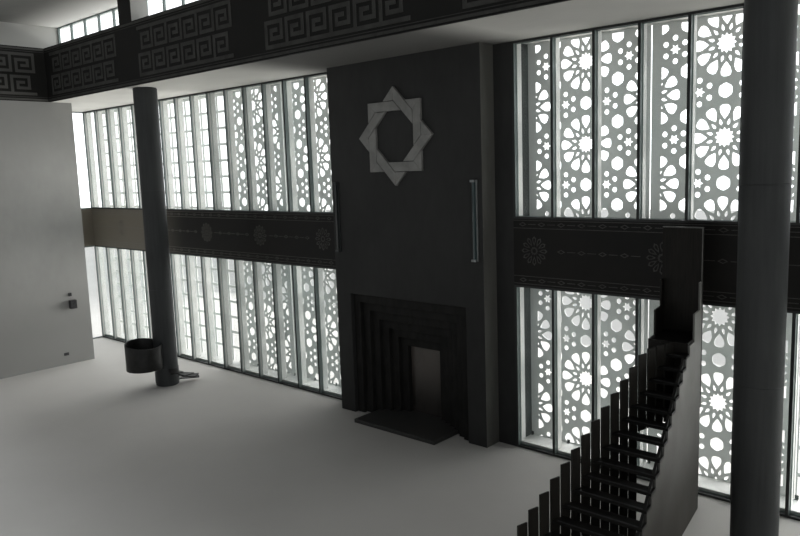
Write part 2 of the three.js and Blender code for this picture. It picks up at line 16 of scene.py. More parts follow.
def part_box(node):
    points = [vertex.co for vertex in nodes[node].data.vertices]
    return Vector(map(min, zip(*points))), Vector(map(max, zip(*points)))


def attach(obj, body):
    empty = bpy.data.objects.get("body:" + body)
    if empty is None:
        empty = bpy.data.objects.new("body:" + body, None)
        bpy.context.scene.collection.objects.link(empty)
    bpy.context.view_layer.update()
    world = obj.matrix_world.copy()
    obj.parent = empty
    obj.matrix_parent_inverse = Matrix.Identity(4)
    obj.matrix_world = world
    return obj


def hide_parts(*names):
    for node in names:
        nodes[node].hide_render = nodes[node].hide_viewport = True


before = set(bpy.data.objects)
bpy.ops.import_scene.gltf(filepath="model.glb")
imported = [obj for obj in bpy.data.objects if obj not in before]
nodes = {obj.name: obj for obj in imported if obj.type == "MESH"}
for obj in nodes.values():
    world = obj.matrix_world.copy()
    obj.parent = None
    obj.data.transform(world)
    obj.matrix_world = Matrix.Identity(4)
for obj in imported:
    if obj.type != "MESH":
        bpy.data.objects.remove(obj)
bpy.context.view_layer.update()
scene = bpy.context.scene

# Camera
# It stands on the gallery, looks left along the glazed wall and a little down, and leans slightly.
eye = Vector((10.555, -12.265, 5.711))
look_left = math.radians(42.063)
look_down = math.radians(7.719)
lean = math.radians(-1.967)
lens = bpy.data.cameras.new("gallery_camera")
lens.sensor_width = 36.0
lens.lens = 33.258
lens.clip_end = 400.0
camera = bpy.data.objects.new("gallery_camera", lens)
camera.matrix_world = (
    Matrix.Translation(eye)
    @ Matrix.Rotation(look_left, 4, "Z")
    @ Matrix.Rotation(math.pi / 2 - look_down, 4, "X")
    @ Matrix.Rotation(lean, 4, "Z")
)
scene.collection.objects.link(camera)
scene.camera = camera
scene.view_settings.view_transform = "Standard"


# Daylight
# Bright soft light stands outside the glazed wall and a weak one on the hall's side, so that the
# pierced screens are seen against the light and the hall inside keeps its dark tones.
class Wire:
    """A node's output socket. Sums on wires add Math nodes, and node() adds any other node."""

    def __init__(self, tree, socket=None):
        self.tree = tree
        self.socket = socket

    def node(self, kind, settings=None, sockets=None, output=0):
        made = self.tree.nodes.new("ShaderNode" + kind)
        for name, value in (settings or {}).items():
            setattr(made, name, value)
        for name, value in (sockets or {}).items():
            target = made.inputs[name]
            if isinstance(value, Wire):
                self.tree.links.new(value.socket, target)
            elif target.type == "RGBA":
                target.default_value = (*value, 1.0)
            else:
                target.default_value = value
        return Wire(self.tree, made.outputs[output])

    def math(self, operation, first, second=0.0):
        return self.node("Math", {"operation": operation}, {0: first, 1: second})

    def __add__(self, other):
        return self.math("ADD", self, other)

    def __sub__(self, other):
        return self.math("SUBTRACT", self, other)

    def __mul__(self, other):
        return self.math("MULTIPLY", self, other)

    def to(self, shader, name):
        self.tree.links.new(self.socket, shader.inputs[name])

    def along(self, axis, source="Object"):
        """A place's distance along one axis, in metres of the object's own space."""
        place = self.node("TexCoord", output=source)
        return self.node("SeparateXYZ", sockets={"Vector": place}, output=axis)

    def past(self, axis, limit):
        """1 where a place lies past a limit along an axis, and 0 elsewhere."""
        return self.math("GREATER_THAN", self.along(axis), limit)

    def square_to(self, axis):
        """1 on the faces that look along an axis, and 0 on the others."""
        normal = self.node("NewGeometry", output="Normal")
        part = self.node("SeparateXYZ", sockets={"Vector": normal}, output=axis)
        return self.math("GREATER_THAN", self.math("ABSOLUTE", part), 0.5)

    def clouds(self, size, stretch=(1.0, 1.0, 1.0), detail=4.0):
        """Soft noise from 0 to 1 whose patches are about size metres across."""
        place = self.node("TexCoord", output="Object")
        scaled = self.node("Mapping", sockets={"Vector": place, "Scale": stretch})
        sockets = {"Vector": scaled, "Scale": 1 / size, "Detail": detail, "Roughness": 0.55}
        return self.node("TexNoise", sockets=sockets)

    def ramp(self, start, end, low=0.0, high=1.0):
        """Goes smoothly from low to high while this wire's value goes from start to end."""
        sockets = {"Value": self, "From Min": start, "From Max": end, "To Min": low, "To Max": high}
        return self.node("MapRange", {"interpolation_type": "SMOOTHSTEP"}, sockets)

    def contrast(self, low, high):
        """Stretches this wire's value so that low becomes 0 and high becomes 1."""
        return self.node("MapRange", sockets={"Value": self, "From Min": low, "From Max": high})

    def mix(self, mask, plain, marked):
        """Colour plain where the mask is 0 and marked where it is 1."""
        return self.node("Mix", {"data_type": "RGBA"}, {0: mask, 6: plain, 7: marked}, 2)

    def tones(self, low, high, plain, marked):
        """Colour plain where this wire's value is low and marked where it is high."""
        return self.mix(self.contrast(low, high), plain, marked)

    def dress(self, colour, roughness=None, relief=None, depth=0.0):
        """Feeds the shader its colour, its roughness and a relief that is depth metres deep."""
        shader = self.tree.nodes["Principled BSDF"]
        colour.to(shader, "Base Color")
        if roughness:
            roughness.to(shader, "Roughness")
        if relief:
            sockets = {"Strength": 1.0, "Distance": depth, "Height": relief}
            self.node("Bump", sockets=sockets).to(shader, "Normal")


sky_bright = 2.6
sky_side = 0.55
sky_dim = 0.13
sky_colour = (0.95, 0.98, 1.0)
world = bpy.data.worlds.new("daylight")
world.use_nodes = True
scene.world = world
air = Wire(world.node_tree)
outdoors = air.along("Y", "Generated").ramp(-0.05, 0.25, 0.0, sky_bright)
beside = air.along("X", "Generated").ramp(0.1, 0.8, sky_dim, sky_side)
background = world.node_tree.nodes["Background"]
background.inputs["Color"].default_value = (*sky_colour, 1.0)
(outdoors + beside).to(background, "Strength")


def softbox(name, size, energy, colour, place, aim, spread=180.0):
    """A large soft light that hangs at a place, faces a point and spreads by so many degrees."""
    light = bpy.data.lights.new(name, "AREA")
    light.shape = "RECTANGLE"
    light.size, light.size_y = size
    light.energy = energy
    light.spread = math.radians(spread)
    light.color = colour
    made = bpy.data.objects.new(name, light)
    made.location = place
    made.rotation_euler = (Vector(aim) - Vector(place)).to_track_quat("-Z", "Y").to_euler()
    made.visible_camera = False
    made.visible_glossy = False
    scene.collection.objects.link(made)


side_warm = (1.0, 0.97, 0.93)
side_place = (19.0, -9.0, 5.5)
side_aim = (-4.0, -3.0, 5.0)
softbox("side_softbox", size=(9.0, 7.0), energy=270.0, colour=side_warm, place=side_place, aim=side_aim)
court_white = (1.0, 0.98, 0.95)
court_place = (0.0, 9.0, 3.2)
court_aim = (0.0, 0.0, 4.2)
softbox("court_glow", (40.0, 6.0), 7000.0, court_white, court_place, court_aim, spread=130.0)


# Floor
# A plain pale floor for the hall to stand on. It isn't part of the hall.
def surface(name, metallic=0.0, coat=0.0, specular=0.5, roughness=0.5):
    """A new material, and the wire that its nodes are added with."""
    material = bpy.data.materials.new(name)
    material.use_nodes = True
    inputs = material.node_tree.nodes["Principled BSDF"].inputs
    inputs["Metallic"].default_value = metallic
    inputs["Coat Weight"].default_value = coat
    inputs["Specular IOR Level"].default_value = specular
    inputs["Roughness"].default_value = roughness
    return material, Wire(material.node_tree)


def object_of(name, body, material):
    """Makes the shapes gathered in a bmesh into one object with one material."""
    bmesh.ops.recalc_face_normals(body, faces=body.faces)
    mesh = bpy.data.meshes.new(name)
    body.to_mesh(mesh)
    body.free()
    mesh.materials.append(material)
    made = bpy.data.objects.new(name, mesh)
    scene.collection.objects.link(made)
    return made


floor_reach = 70.0
floor_drop = 0.001
floor_tones = (0.50, 0.49, 0.47), (0.47, 0.46, 0.44)
floor_paint, wire = surface("pale_floor", roughness=0.85)
wire.dress(wire.clouds(2.5).tones(0.35, 0.65, *floor_tones))
sheet = bmesh.new()
bmesh.ops.create_grid(sheet, x_segments=8, y_segments=8, size=floor_reach)
floor = object_of("studio_floor", sheet, floor_paint)
floor.location.z = -floor_drop


# Side walls and ceilings
# White plaster on block walls and on the slabs, trowelled smooth and painted with a roller. The
# walls stand free of the glazing, and the ceilings run from wall to wall.
def paint_nodes(material, slot, *names):
    """Gives CAD nodes their finish."""
    for name in names:
        for place in nodes[name].material_slots:
            place.material = material


plaster_pale = (0.385, 0.385, 0.370)
plaster_shade = (0.335, 0.335, 0.320)
plaster_shaded = (0.235, 0.235, 0.226)
white_plaster, wire = surface("white_plaster")
sweep = wire.clouds(1.6, (1.0, 1.0, 0.45))
drift = wire.clouds(0.22, (1.0, 1.0, 0.6))
stipple = wire.clouds(0.006, detail=2.0)
tone = (sweep * 0.7 + drift * 0.3).tones(0.36, 0.66, plaster_pale, plaster_shade)
# Darker towards the foot, and painted shade towards the head under the ceiling.
darker_foot_shaded_head = wire.along("Z").ramp(3.6, 1.0) + wire.along("Z").ramp(5.6, 7.6, 0.0, 0.8)
tone = wire.mix(darker_foot_shaded_head, tone, plaster_shaded)
wire.dress(tone, drift * 0.12 + 0.78, sweep * 0.2 + drift * 0.3 + stipple * 0.5, 0.0022)
paint_nodes(white_plaster, "white_plaster", "side_wall_left", "side_wall_right")

# The two ceilings are white plaster like the walls, in tones that stand in for the light on them: the low
# ceiling painted paler, as painted light, and the upper one darker, as painted shade. Their third tone is
# painted light too: a painted shadow on the low ceiling's soffit, and a lighter tone on the upper
# ceiling's faces that look along X.
ceilings = {
    "low_ceiling": ((0.62, 0.615, 0.58), (0.55, 0.545, 0.515), (0.155, 0.152, 0.145)),
    "upper_ceiling": ((0.25, 0.25, 0.235), (0.21, 0.21, 0.20), (0.44, 0.44, 0.42)),
}
fascia_grey = (0.105, 0.105, 0.100)
window_painted_light = (0.80, 0.80, 0.77)
window_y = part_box("clerestory_frame")[0].y
fascia_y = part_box("low_ceiling")[1].y
for name, (pale, shade, apart) in ceilings.items():
    low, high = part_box(name)
    ceiling_paint, wire = surface(name + "_paint")
    sweep = wire.clouds(2.2)
    stipple = wire.clouds(0.006, detail=2.0)
    tone = sweep.tones(0.36, 0.66, pale, shade)
    if name == "low_ceiling":
        underside = wire.math("LESS_THAN", wire.along("Z"), low.z + 0.01)
        # Painted shadow on the soffit over the block, and painted shade towards the right.
        over_block = wire.math("ABSOLUTE", wire.along("X")).ramp(3.6, 1.8)
        right_part = wire.along("X").ramp(2.0, 4.0, 0.0, 0.45)
        painted_light_mask = underside * wire.math("MAXIMUM", over_block, right_part)
    else:
        underside = wire.math("LESS_THAN", wire.along("Z"), high.z - 0.02)
        # Painted light: the underside is painted whiter towards the high windows.
        near_window = underside * wire.along("Y").ramp(window_y - 1.7, window_y + 0.1)
        tone = wire.mix(near_window, tone, window_painted_light)
        painted_light_mask = wire.square_to("X")
    tone = wire.mix(painted_light_mask, tone, apart)
    tone = wire.mix(wire.past("Y", fascia_y - 0.001), tone, fascia_grey)
    wire.dress(tone, sweep * 0.1 + 0.8, sweep * 0.4 + stipple * 0.6, 0.0016)
    paint_nodes(ceiling_paint, "white_plaster", name)


# Fittings on the left wall
# A small black speaker on a bracket at head height with a sensor over it, and a socket plate near
# the floor, all of moulded plastic and screwed to the plaster.
def box_into(body, low, high):
    """Adds a closed box between two corners."""
    made = bmesh.ops.create_cube(body, size=1.0)
    for vertex in made["verts"]:
        spot = [low[i] + (vertex.co[i] + 0.5) * (high[i] - low[i]) for i in range(3)]
        vertex.co = Vector(spot)


def piece(name, body, material, edge=0.0, segments=2, smooth=False):
    """Finishes a piece of the hall: its edges eased, standing on the root body."""
    made = object_of(name, body, material)
    soft_angle = math.radians(32)
    if smooth:
        made.data.shade_smooth()
        made.data.set_sharp_from_angle(angle=soft_angle)
    if edge:
        ease = made.modifiers.new("eased_edges", "BEVEL")
        ease.width = edge
        ease.segments = segments
        ease.limit_method = "ANGLE"
        ease.angle_limit = soft_angle
    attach(made, "root")
    return made


plastic_tones = (0.020, 0.021, 0.022), (0.045, 0.046, 0.048)
moulding, wire = surface("black_moulding")
speck = wire.clouds(0.004, detail=2.0)
tone = wire.clouds(0.05).tones(0.4, 0.7, *plastic_tones)
wire.dress(tone, speck * 0.2 + 0.45, speck, 0.0004)

wall_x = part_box("side_wall_left")[1].x


def wall_fitting(name, y, z, edge, parts):
    """Adds a fitting at y and z on the wall. A part gives its reach out, along and up from there."""
    body = bmesh.new()
    for (near, far), (start, end), (foot, head) in parts:
        box_into(body, (wall_x + near, y + start, z + foot), (wall_x + far, y + end, z + head))
    piece(name, body, moulding, edge=edge)


cabinet = ((0.050, 0.200), (-0.095, 0.095), (0.000, 0.260))
back_plate = ((0.000, 0.012), (-0.030, 0.030), (0.080, 0.200))
bracket = ((0.000, 0.060), (-0.012, 0.012), (0.120, 0.160))
sensor = ((0.000, 0.055), (-0.060, 0.020), (0.380, 0.480))
grille = []
grille_bars = 9
bar_pitch = 0.024
for bar in range(grille_bars):
    foot = 0.030 + bar * bar_pitch
    grille.append(((0.198, 0.204), (-0.075, 0.075), (foot, foot + 0.009)))
speaker_parts = [cabinet, back_plate, bracket, *grille, sensor]
wall_fitting("wall_speaker", y=-2.31, z=1.74, edge=0.003, parts=speaker_parts)
socket_plate = ((0.000, 0.012), (-0.075, 0.075), (-0.045, 0.045))
left_outlet = ((0.010, 0.016), (-0.062, -0.010), (-0.026, 0.026))
right_outlet = ((0.010, 0.016), (0.010, 0.062), (-0.026, 0.026))
socket_parts = [socket_plate, left_outlet, right_outlet]
wall_fitting("wall_socket", y=-2.60, z=0.33, edge=0.002, parts=socket_parts)


# Columns
# Cast round columns, painted dark grey. Three lifts of the steel mould leave a fine joint ring
# between them, and a shadow groove parts each column from the floor and the ceiling.
def polar(reach, angle, x=0.0, y=0.0):
    """The point at a reach and an angle from a centre."""
    return x + reach * math.cos(angle), y + reach * math.sin(angle)


def lathe_into(body, profile, centre, sides):
    """Adds a turned shape from pairs of radius and height, closed at the axis or on itself."""
    rings = []
    for radius, height in profile:
        turns = range(sides) if radius else range(1)
        spots = [polar(radius, 2 * math.pi * k / sides, *centre) for k in turns]
        rings.append([body.verts.new((*spot, height)) for spot in spots])
    for lower, upper in zip(rings, rings[1:]):
        for k in range(sides):
            corners = [lower[k % len(lower)], lower[(k + 1) % len(lower)]]
            corners += [upper[(k + 1) % len(upper)], upper[k % len(upper)]]
            body.faces.new(list(dict.fromkeys(corners)))


concrete_tones = (0.046, 0.049, 0.049), (0.030, 0.032, 0.033)
column_paint, wire = surface("painted_concrete", specular=0.3)
blotch = wire.clouds(0.9, (1.0, 1.0, 0.4))
streak = wire.clouds(0.05, (1.0, 1.0, 0.06))
cells = {"Vector": wire.node("TexCoord", output="Object"), "Scale": 45.0}
pores = wire.node("TexVoronoi", {"feature": "DISTANCE_TO_EDGE"}, cells, "Distance")
pitted = pores.contrast(0.0, 0.05)
tone = (blotch * 0.65 + streak * 0.35).tones(0.38, 0.62, *concrete_tones)
wire.dress(tone, blotch * 0.25 + 0.42, streak * 0.4 + pitted * 0.6, 0.0012)

column_sides = 128
lifts = 3
joint_depth = 0.005
joint_half = 0.004
groove = 0.018
for side in ("left", "right"):
    low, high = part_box("column_" + side)
    radius = (high.x - low.x) / 2
    axis = ((low.x + high.x) / 2, (low.y + high.y) / 2)
    outline = [(0.0, 0.0), (radius - groove, 0.0), (radius - groove, groove), (radius, groove)]
    for lift in range(1, lifts):
        joint = high.z * lift / lifts
        outline += [(radius, joint - 2 * joint_half), (radius - joint_depth, joint - joint_half)]
        outline += [(radius - joint_depth, joint + joint_half), (radius, joint + 2 * joint_half)]
    outline += [(radius, high.z - groove), (radius - groove, high.z - groove)]
    outline += [(radius - groove, high.z), (0.0, high.z)]
    shaft = bmesh.new()
    lathe_into(shaft, outline, axis, column_sides)
    column = piece("round_column_" + side, shaft, column_paint, smooth=True)
    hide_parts("column_" + side)


# Ring beam with its frieze
# A cast beam rendered near black. Beads run along its edges, and panels of raised key fret are set
# between plain fields that stand over the columns and the window piers.
def prism_into(body, outline, push):
    """Adds a closed prism: a flat outline pushed along a vector."""
    near = [body.verts.new(point) for point in outline]
    far = [body.verts.new(Vector(point) + Vector(push)) for point in outline]
    body.faces.new(near)
    body.faces.new(far)
    count = len(near)
    for k in range(count):
        body.faces.new((near[k], near[(k + 1) % count], far[(k + 1) % count], far[k]))


def strip_into(body, start, end, height, push):
    """Adds a raised strip that runs level from start to end."""
    rise = Vector((0.0, 0.0, height))
    prism_into(body, [Vector(start), Vector(end), Vector(end) + rise, Vector(start) + rise], push)


def relief_into(body, cells, corner, across, up, out):
    """Adds a raised pattern from the cells of a square grid; across, up and out are its steps."""
    made = {}

    def at(i, j, k):
        if (i, j, k) not in made:
            made[i, j, k] = body.verts.new(corner + across * i + up * j + out * k)
        return made[i, j, k]

    edges = {(-1, 0): (0, 1, 0, 0), (1, 0): (1, 0, 1, 1), (0, -1): (0, 0, 1, 0), (0, 1): (1, 1, 0, 1)}
    for i, j in sorted(cells):
        body.faces.new([at(i, j, 1), at(i + 1, j, 1), at(i + 1, j + 1, 1), at(i, j + 1, 1)])
        body.faces.new([at(i, j + 1, 0), at(i + 1, j + 1, 0), at(i + 1, j, 0), at(i, j, 0)])
        for (di, dj), (a, b, c, d) in edges.items():
            if (i + di, j + dj) not in cells:
                start, end = (i + a, j + b), (i + c, j + d)
                body.faces.new([at(*start, 0), at(*end, 0), at(*end, 1), at(*start, 1)])


tile_width = 8
tile_height = 7


def key_cells(tiles):
    """Cells of two tiers of a running key, the upper one turned over.

    One tile of the key is a base line, a riser and a hook that winds inwards.
    """
    top = tile_height - 1
    reach = tile_width - 2
    strokes = [((0, 0), (tile_width, 0)), ((0, 0), (0, top)), ((0, top), (reach, top))]
    strokes += [((reach, 2), (reach, top)), ((2, 2), (reach, 2)), ((2, 2), (2, 4)), ((2, 4), (4, 4))]
    cells = set()
    for tile in range(tiles):
        for (i0, j0), (i1, j1) in strokes:
            for i in range(i0, i1 + 1):
                for j in range(j0, j1 + 1):
                    cells.add((tile * tile_width + i, j))
                    cells.add(((tile + 1) * tile_width - i, 2 * tile_height - j))
    return cells


beam_head = 9.564
frieze_black = (0.0085, 0.0085, 0.0080)
frieze_brown = (0.0125, 0.0123, 0.0115)
frieze_arm_painted_light = (0.022, 0.0215, 0.020)
frieze_ground, wire = surface("dark_frieze_render", specular=0.2)
patch = wire.clouds(1.2)
grit = wire.clouds(0.008, detail=3.0)
tone = (patch * 0.6 + grit * 0.4).tones(0.36, 0.64, frieze_black, frieze_brown)
# Painted light: the faces that look along X, on the beam's arms, are painted in a lighter copy of the
# render, and the plaster above the beam head on them in darker, shaded plaster tones.
on_arm = wire.square_to("X")
tone = wire.mix(on_arm, tone, wire.mix(patch, frieze_arm_painted_light, frieze_brown))
reveal = on_arm * wire.past("Z", beam_head + 0.002)
tone = wire.mix(reveal, tone, wire.mix(patch, plaster_shade, plaster_shaded))
wire.dress(tone, grit * 0.25 + 0.55, grit * 0.7 + patch * 0.3, 0.0015)
paint_nodes(frieze_ground, "dark_frieze", "ring_beam")

fret_tones = (0.048, 0.048, 0.045), (0.029, 0.029, 0.027)
fret_arm_painted_light = (0.085, 0.084, 0.079)
fret_paint, wire = surface("raised_fret", specular=0.3)
rub = wire.clouds(0.35)
grain = wire.clouds(0.006, detail=2.0)
tone = (rub * 0.7 + grain * 0.3).tones(0.40, 0.62, *fret_tones)
# Painted light: the fret's faces that look along X are painted lighter.
tone = wire.mix(wire.square_to("X") * (rub * 0.4 + 0.6), tone, fret_arm_painted_light)
wire.dress(tone, rub * 0.2 + 0.5, grain, 0.0006)

beam_face = -2.408
beam_foot = 8.010
arm_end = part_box("ring_beam")[0].y
hall_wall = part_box("side_wall_right")[0].x
fret_unit = 0.080
fret_thick = 0.014
fret_foot = 8.185
fret_tiles = 6
arm_tiles = 3
panels_a_side = 2
fret_width = (fret_tiles * tile_width + 1) * fret_unit
fret_centre = 0.135
fret_pitch = 5.03
arm_start = -4.72
up = Vector((0.0, 0.0, fret_unit))
frieze = bmesh.new()
for step in range(-panels_a_side, panels_a_side + 1):
    corner = Vector((fret_centre + step * fret_pitch - fret_width / 2, beam_face, fret_foot))
    across, out = Vector((fret_unit, 0.0, 0.0)), Vector((0.0, -fret_thick, 0.0))
    relief_into(frieze, key_cells(fret_tiles), corner, across, up, out)
for side in (-1, 1):
    corner = Vector((side * hall_wall, arm_start, fret_foot))
    across, out = Vector((0.0, fret_unit, 0.0)), Vector((-side * fret_thick, 0.0, 0.0))
    relief_into(frieze, key_cells(arm_tiles), corner, across, up, out)
bmesh.ops.dissolve_limit(frieze, angle_limit=0.01, verts=frieze.verts, edges=frieze.edges)
piece("frieze_fret", frieze, fret_paint, edge=0.003, segments=1)

bead = (0.050, 0.016)
line = (0.012, 0.006)
borders = bmesh.new()
for (height, thick), foot in (
    (bead, beam_foot + 0.030),
    (line, beam_foot + 0.118),
    (line, beam_head - 0.130),
    (bead, beam_head - 0.080),
):
    start = (-hall_wall, beam_face, foot)
    end = (hall_wall, beam_face, foot)
    strip_into(borders, start, end, height, (0.0, -thick, 0.0))
    for side in (-1, 1):
        start = (side * hall_wall, arm_end, foot)
        end = (side * hall_wall, beam_face - bead[1], foot)
        strip_into(borders, start, end, height, (-side * thick, 0.0, 0.0))
piece("frieze_beads", borders, fret_paint, edge=0.004)


# Frames and glass
# Dark painted aluminium mullions stand a module apart, and each pane is bedded in a pale green-grey
# seal that catches the daylight along its edges. The same frame closes the strip of high windows.
storeys = ("lower", "upper")
sides = {"left": -1, "right": 1}
fields = [storey + "_" + side for storey in storeys for side in sides]
mullion_front = -0.030
frame_tones = (0.020, 0.022, 0.022), (0.034, 0.037, 0.036)
frame_side_light = (0.150, 0.185, 0.178)
frame_painted_highlight = (0.50, 0.50, 0.48)
frame_paint, wire = surface("dark_frame_paint", metallic=0.3)
rub = wire.clouds(0.6, (1.0, 1.0, 0.25))
flake = wire.clouds(0.003, detail=2.0)
tone = (rub * 0.8 + flake * 0.2).tones(0.40, 0.64, *frame_tones)
# Painted light: the frame above the beam head and the mullion sides that look along X are painted in a
# lighter tone than the dark fronts, and towards the far left, back from the front edge, in a paler
# painted highlight.
tone = wire.mix(wire.past("Z", beam_head - 0.064), tone, frame_side_light)
outer_part = wire.along("Y").ramp(mullion_front + 0.025, mullion_front + 0.055)
side_painted_light = wire.mix(wire.along("X").ramp(-3.5, -7.0) * outer_part, frame_side_light, frame_painted_highlight)
tone = wire.mix(wire.square_to("X") * (rub * 0.3 + 0.7), tone, side_painted_light)
wire.dress(tone, rub * 0.2 + 0.30, flake, 0.0003)
frames = ["glazing_frame_" + field for field in fields]
paint_nodes(frame_paint, "dark_frame", "clerestory_frame", *frames)

glass_tint = (0.78, 0.86, 0.84)
glass_film = (0.60, 0.72, 0.70)
glass, wire = surface("clear_glass")
film = wire.clouds(0.9, (1.0, 1.0, 0.5)).contrast(0.35, 0.70)
slant = wire.node("LayerWeight", sockets={"Blend": 0.25}, output="Fresnel")
(film * 0.05 + slant * 0.25 + 0.035).to(glass.node_tree.nodes["Principled BSDF"], "Alpha")
wire.dress(wire.mix(film, glass_tint, glass_film), film * 0.05 + 0.02)
paint_nodes(glass, "clear_glass", "clerestory_glass", *("glass_" + field for field in fields))

seal_tones = (0.30, 0.38, 0.36), (0.16, 0.21, 0.20)
seal_paint, wire = surface("glazing_seal")
dust = wire.clouds(0.25)
wire.dress(dust.tones(0.4, 0.65, *seal_tones), dust * 0.3 + 0.3)

module = 0.8364
module_count = 15
first_mullion = 2.572
mullion_half = 0.026
seal_width = 0.010
seal_deep = 0.012
rail = 0.040
for storey in storeys:
    low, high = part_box("glazing_frame_" + storey + "_right")
    foot = low.z + rail
    head = high.z - rail
    for side, turn in sides.items():
        seals = bmesh.new()
        for pane in range(module_count):
            x0 = first_mullion + pane * module + mullion_half
            x1 = x0 + module - 2 * mullion_half
            for a, b, z0, z1 in (
                (x0, x0 + seal_width, foot, head),
                (x1 - seal_width, x1, foot, head),
                (x0 + seal_width, x1 - seal_width, foot, foot + seal_width),
                (x0 + seal_width, x1 - seal_width, head - seal_width, head),
            ):
                start, end = sorted((turn * a, turn * b))
                box_into(seals, (start, high.y - seal_deep, z0), (end, high.y, z1))
        name = "glazing_seals_" + storey + "_" + side
        piece(name, seals, seal_paint, edge=0.002, segments=1)


# Band between the storeys
# Dark brown panels hide the floor edge. Shallow strips of the same metal run along both edges with
# a chain of lozenges between them, and rosettes stand one to a screen on the middle chain.
band_tones = (0.0080, 0.0080, 0.0076), (0.0135, 0.0124, 0.0110)
band_painted_light_left = (0.180, 0.163, 0.132)
band_paint, wire = surface("band_enamel", specular=0.2)
patch = wire.clouds(1.4, (0.5, 1.0, 1.0))
orange_peel = wire.clouds(0.010, detail=2.0)
tone = patch.tones(0.38, 0.66, *band_tones)
# Painted light: the band is painted much paler towards the far left.
tone = wire.mix(wire.along("X").ramp(-9.0, -11.8), tone, band_painted_light_left)
wire.dress(tone, patch * 0.2 + 0.38, orange_peel, 0.0004)
paint_nodes(band_paint, "dark_band", "spandrel_band_left", "spandrel_band_right")

inlay_tones = (0.062, 0.060, 0.056), (0.036, 0.034, 0.031)
inlay_painted_light_left = (0.170, 0.160, 0.140)
inlay_paint, wire = surface("band_inlay", metallic=0.2)
rub = wire.clouds(0.3)
tone = rub.tones(0.4, 0.62, *inlay_tones)
# Painted light: the inlay is painted paler towards the far left.
tone = wire.mix(wire.along("X").ramp(-3.0, -12.0), tone, inlay_painted_light_left)
wire.dress(tone, rub * 0.2 + 0.35, wire.clouds(0.004, detail=2.0), 0.0003)

band_low, band_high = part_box("spandrel_band_right")
band_face = -0.030
band_middle = (band_low.z + band_high.z) / 2 + 0.040
band_start = first_mullion - mullion_half
band_corner = first_mullion + module_count * module - mullion_half
return_panes = 2
band_return = -return_panes * module - mullion_half
inlay_thick = 0.004
inlay_line = 0.012
border_inset = 0.035
border_width = 0.150
chain_pitch = 0.418
lozenge_long = 0.085
lozenge_tall = 0.042
lozenge = [(-lozenge_long, 0.0), (0.0, -lozenge_tall), (lozenge_long, 0.0), (0.0, lozenge_tall)]
lozenge_bore = (0.66, 0.62)
dash_gap = 0.040
medallion_first = 3.01
medallion_pitch = 2.51
medallion_count = 5
medallion_radius = 0.285
petal_count = 12
band_petal = [(0.36, 0.0), (0.62, 0.11), (0.84, 0.14), (1.0, 0.0)]
petal_bore = (0.62, 0.62)
star_bore = (0.6, 0.6)


def ring_into(body, outline, bore, x, z, turn):
    """Adds a flat ring to the band at x and z, mirrored to one side; bore is its hole's share."""
    count = len(outline)
    mid_a, mid_b = [sum(parts) / count for parts in zip(*outline)]
    hole = [(mid_a + (a - mid_a) * bore[0], mid_b + (b - mid_b) * bore[1]) for a, b in outline]
    loops = []
    for points in (outline, hole):
        for y in (band_face, band_face - inlay_thick):
            loops.append([body.verts.new((turn * (x + a), y, z + b)) for a, b in points])
    for k in range(count):
        n = (k + 1) % count
        for one, other in ((0, 2), (1, 3), (0, 1), (2, 3)):
            body.faces.new((loops[one][k], loops[one][n], loops[other][n], loops[other][k]))


def petal_outline(length, angle, shape):
    """A petal's outline from pairs of distance and half width, pointing away at an angle."""
    forward = Vector((math.cos(angle), math.sin(angle)))
    aside = Vector((-math.sin(angle), math.cos(angle)))
    right = [forward * r * length + aside * w * length for r, w in shape]
    left = [forward * r * length - aside * w * length for r, w in reversed(shape) if w > 0]
    return [(spot.x, spot.y) for spot in right + left]


def star_points(tips, outer, inner):
    """Outline of a star, its first tip to the right."""
    return [polar((outer, inner)[k % 2], math.pi * k / tips) for k in range(2 * tips)]


petals = []
for k in range(petal_count):
    petals.append(petal_outline(medallion_radius, 2 * math.pi * k / petal_count, band_petal))
heart = star_points(petal_count, medallion_radius * 0.30, medallion_radius * 0.22)
low_line = band_low.z + border_inset
high_line = band_high.z - border_inset
edge_lines = (low_line, low_line + border_width, high_line - border_width, high_line)
chain_rows = (low_line + border_width / 2, high_line - border_width / 2, band_middle)
centres = [medallion_first + k * medallion_pitch for k in range(medallion_count)]
for side, turn in sides.items():
    inlay = bmesh.new()
    corner_x = turn * band_corner
    out_of_band = (0.0, -inlay_thick, 0.0)
    out_of_return = (-turn * inlay_thick, 0.0, 0.0)
    for foot in edge_lines:
        corner = (corner_x, band_face, foot)
        strip_into(inlay, (turn * band_start, band_face, foot), corner, inlay_line, out_of_band)
        strip_into(inlay, corner, (corner_x, band_return, foot), inlay_line, out_of_return)
    for link in range(int((band_corner - band_start) / chain_pitch)):
        x = band_start + (link + 0.5) * chain_pitch
        near_medallion = min(abs(x - centre) for centre in centres) < medallion_radius + lozenge_long
        for row in chain_rows:
            if row == band_middle and near_medallion:
                continue
            ring_into(inlay, lozenge, lozenge_bore, x, row + inlay_line / 2, turn)
            start = x + lozenge_long + dash_gap
            end = x + chain_pitch - lozenge_long - dash_gap
            ends = [(turn * place, band_face, row) for place in (start, end)]
            strip_into(inlay, *ends, inlay_line, out_of_band)
    for centre in centres:
        for petal in petals:
            ring_into(inlay, petal, petal_bore, centre, band_middle, turn)
        ring_into(inlay, heart, star_bore, centre, band_middle, turn)
    piece("band_inlay_" + side, inlay, inlay_paint)


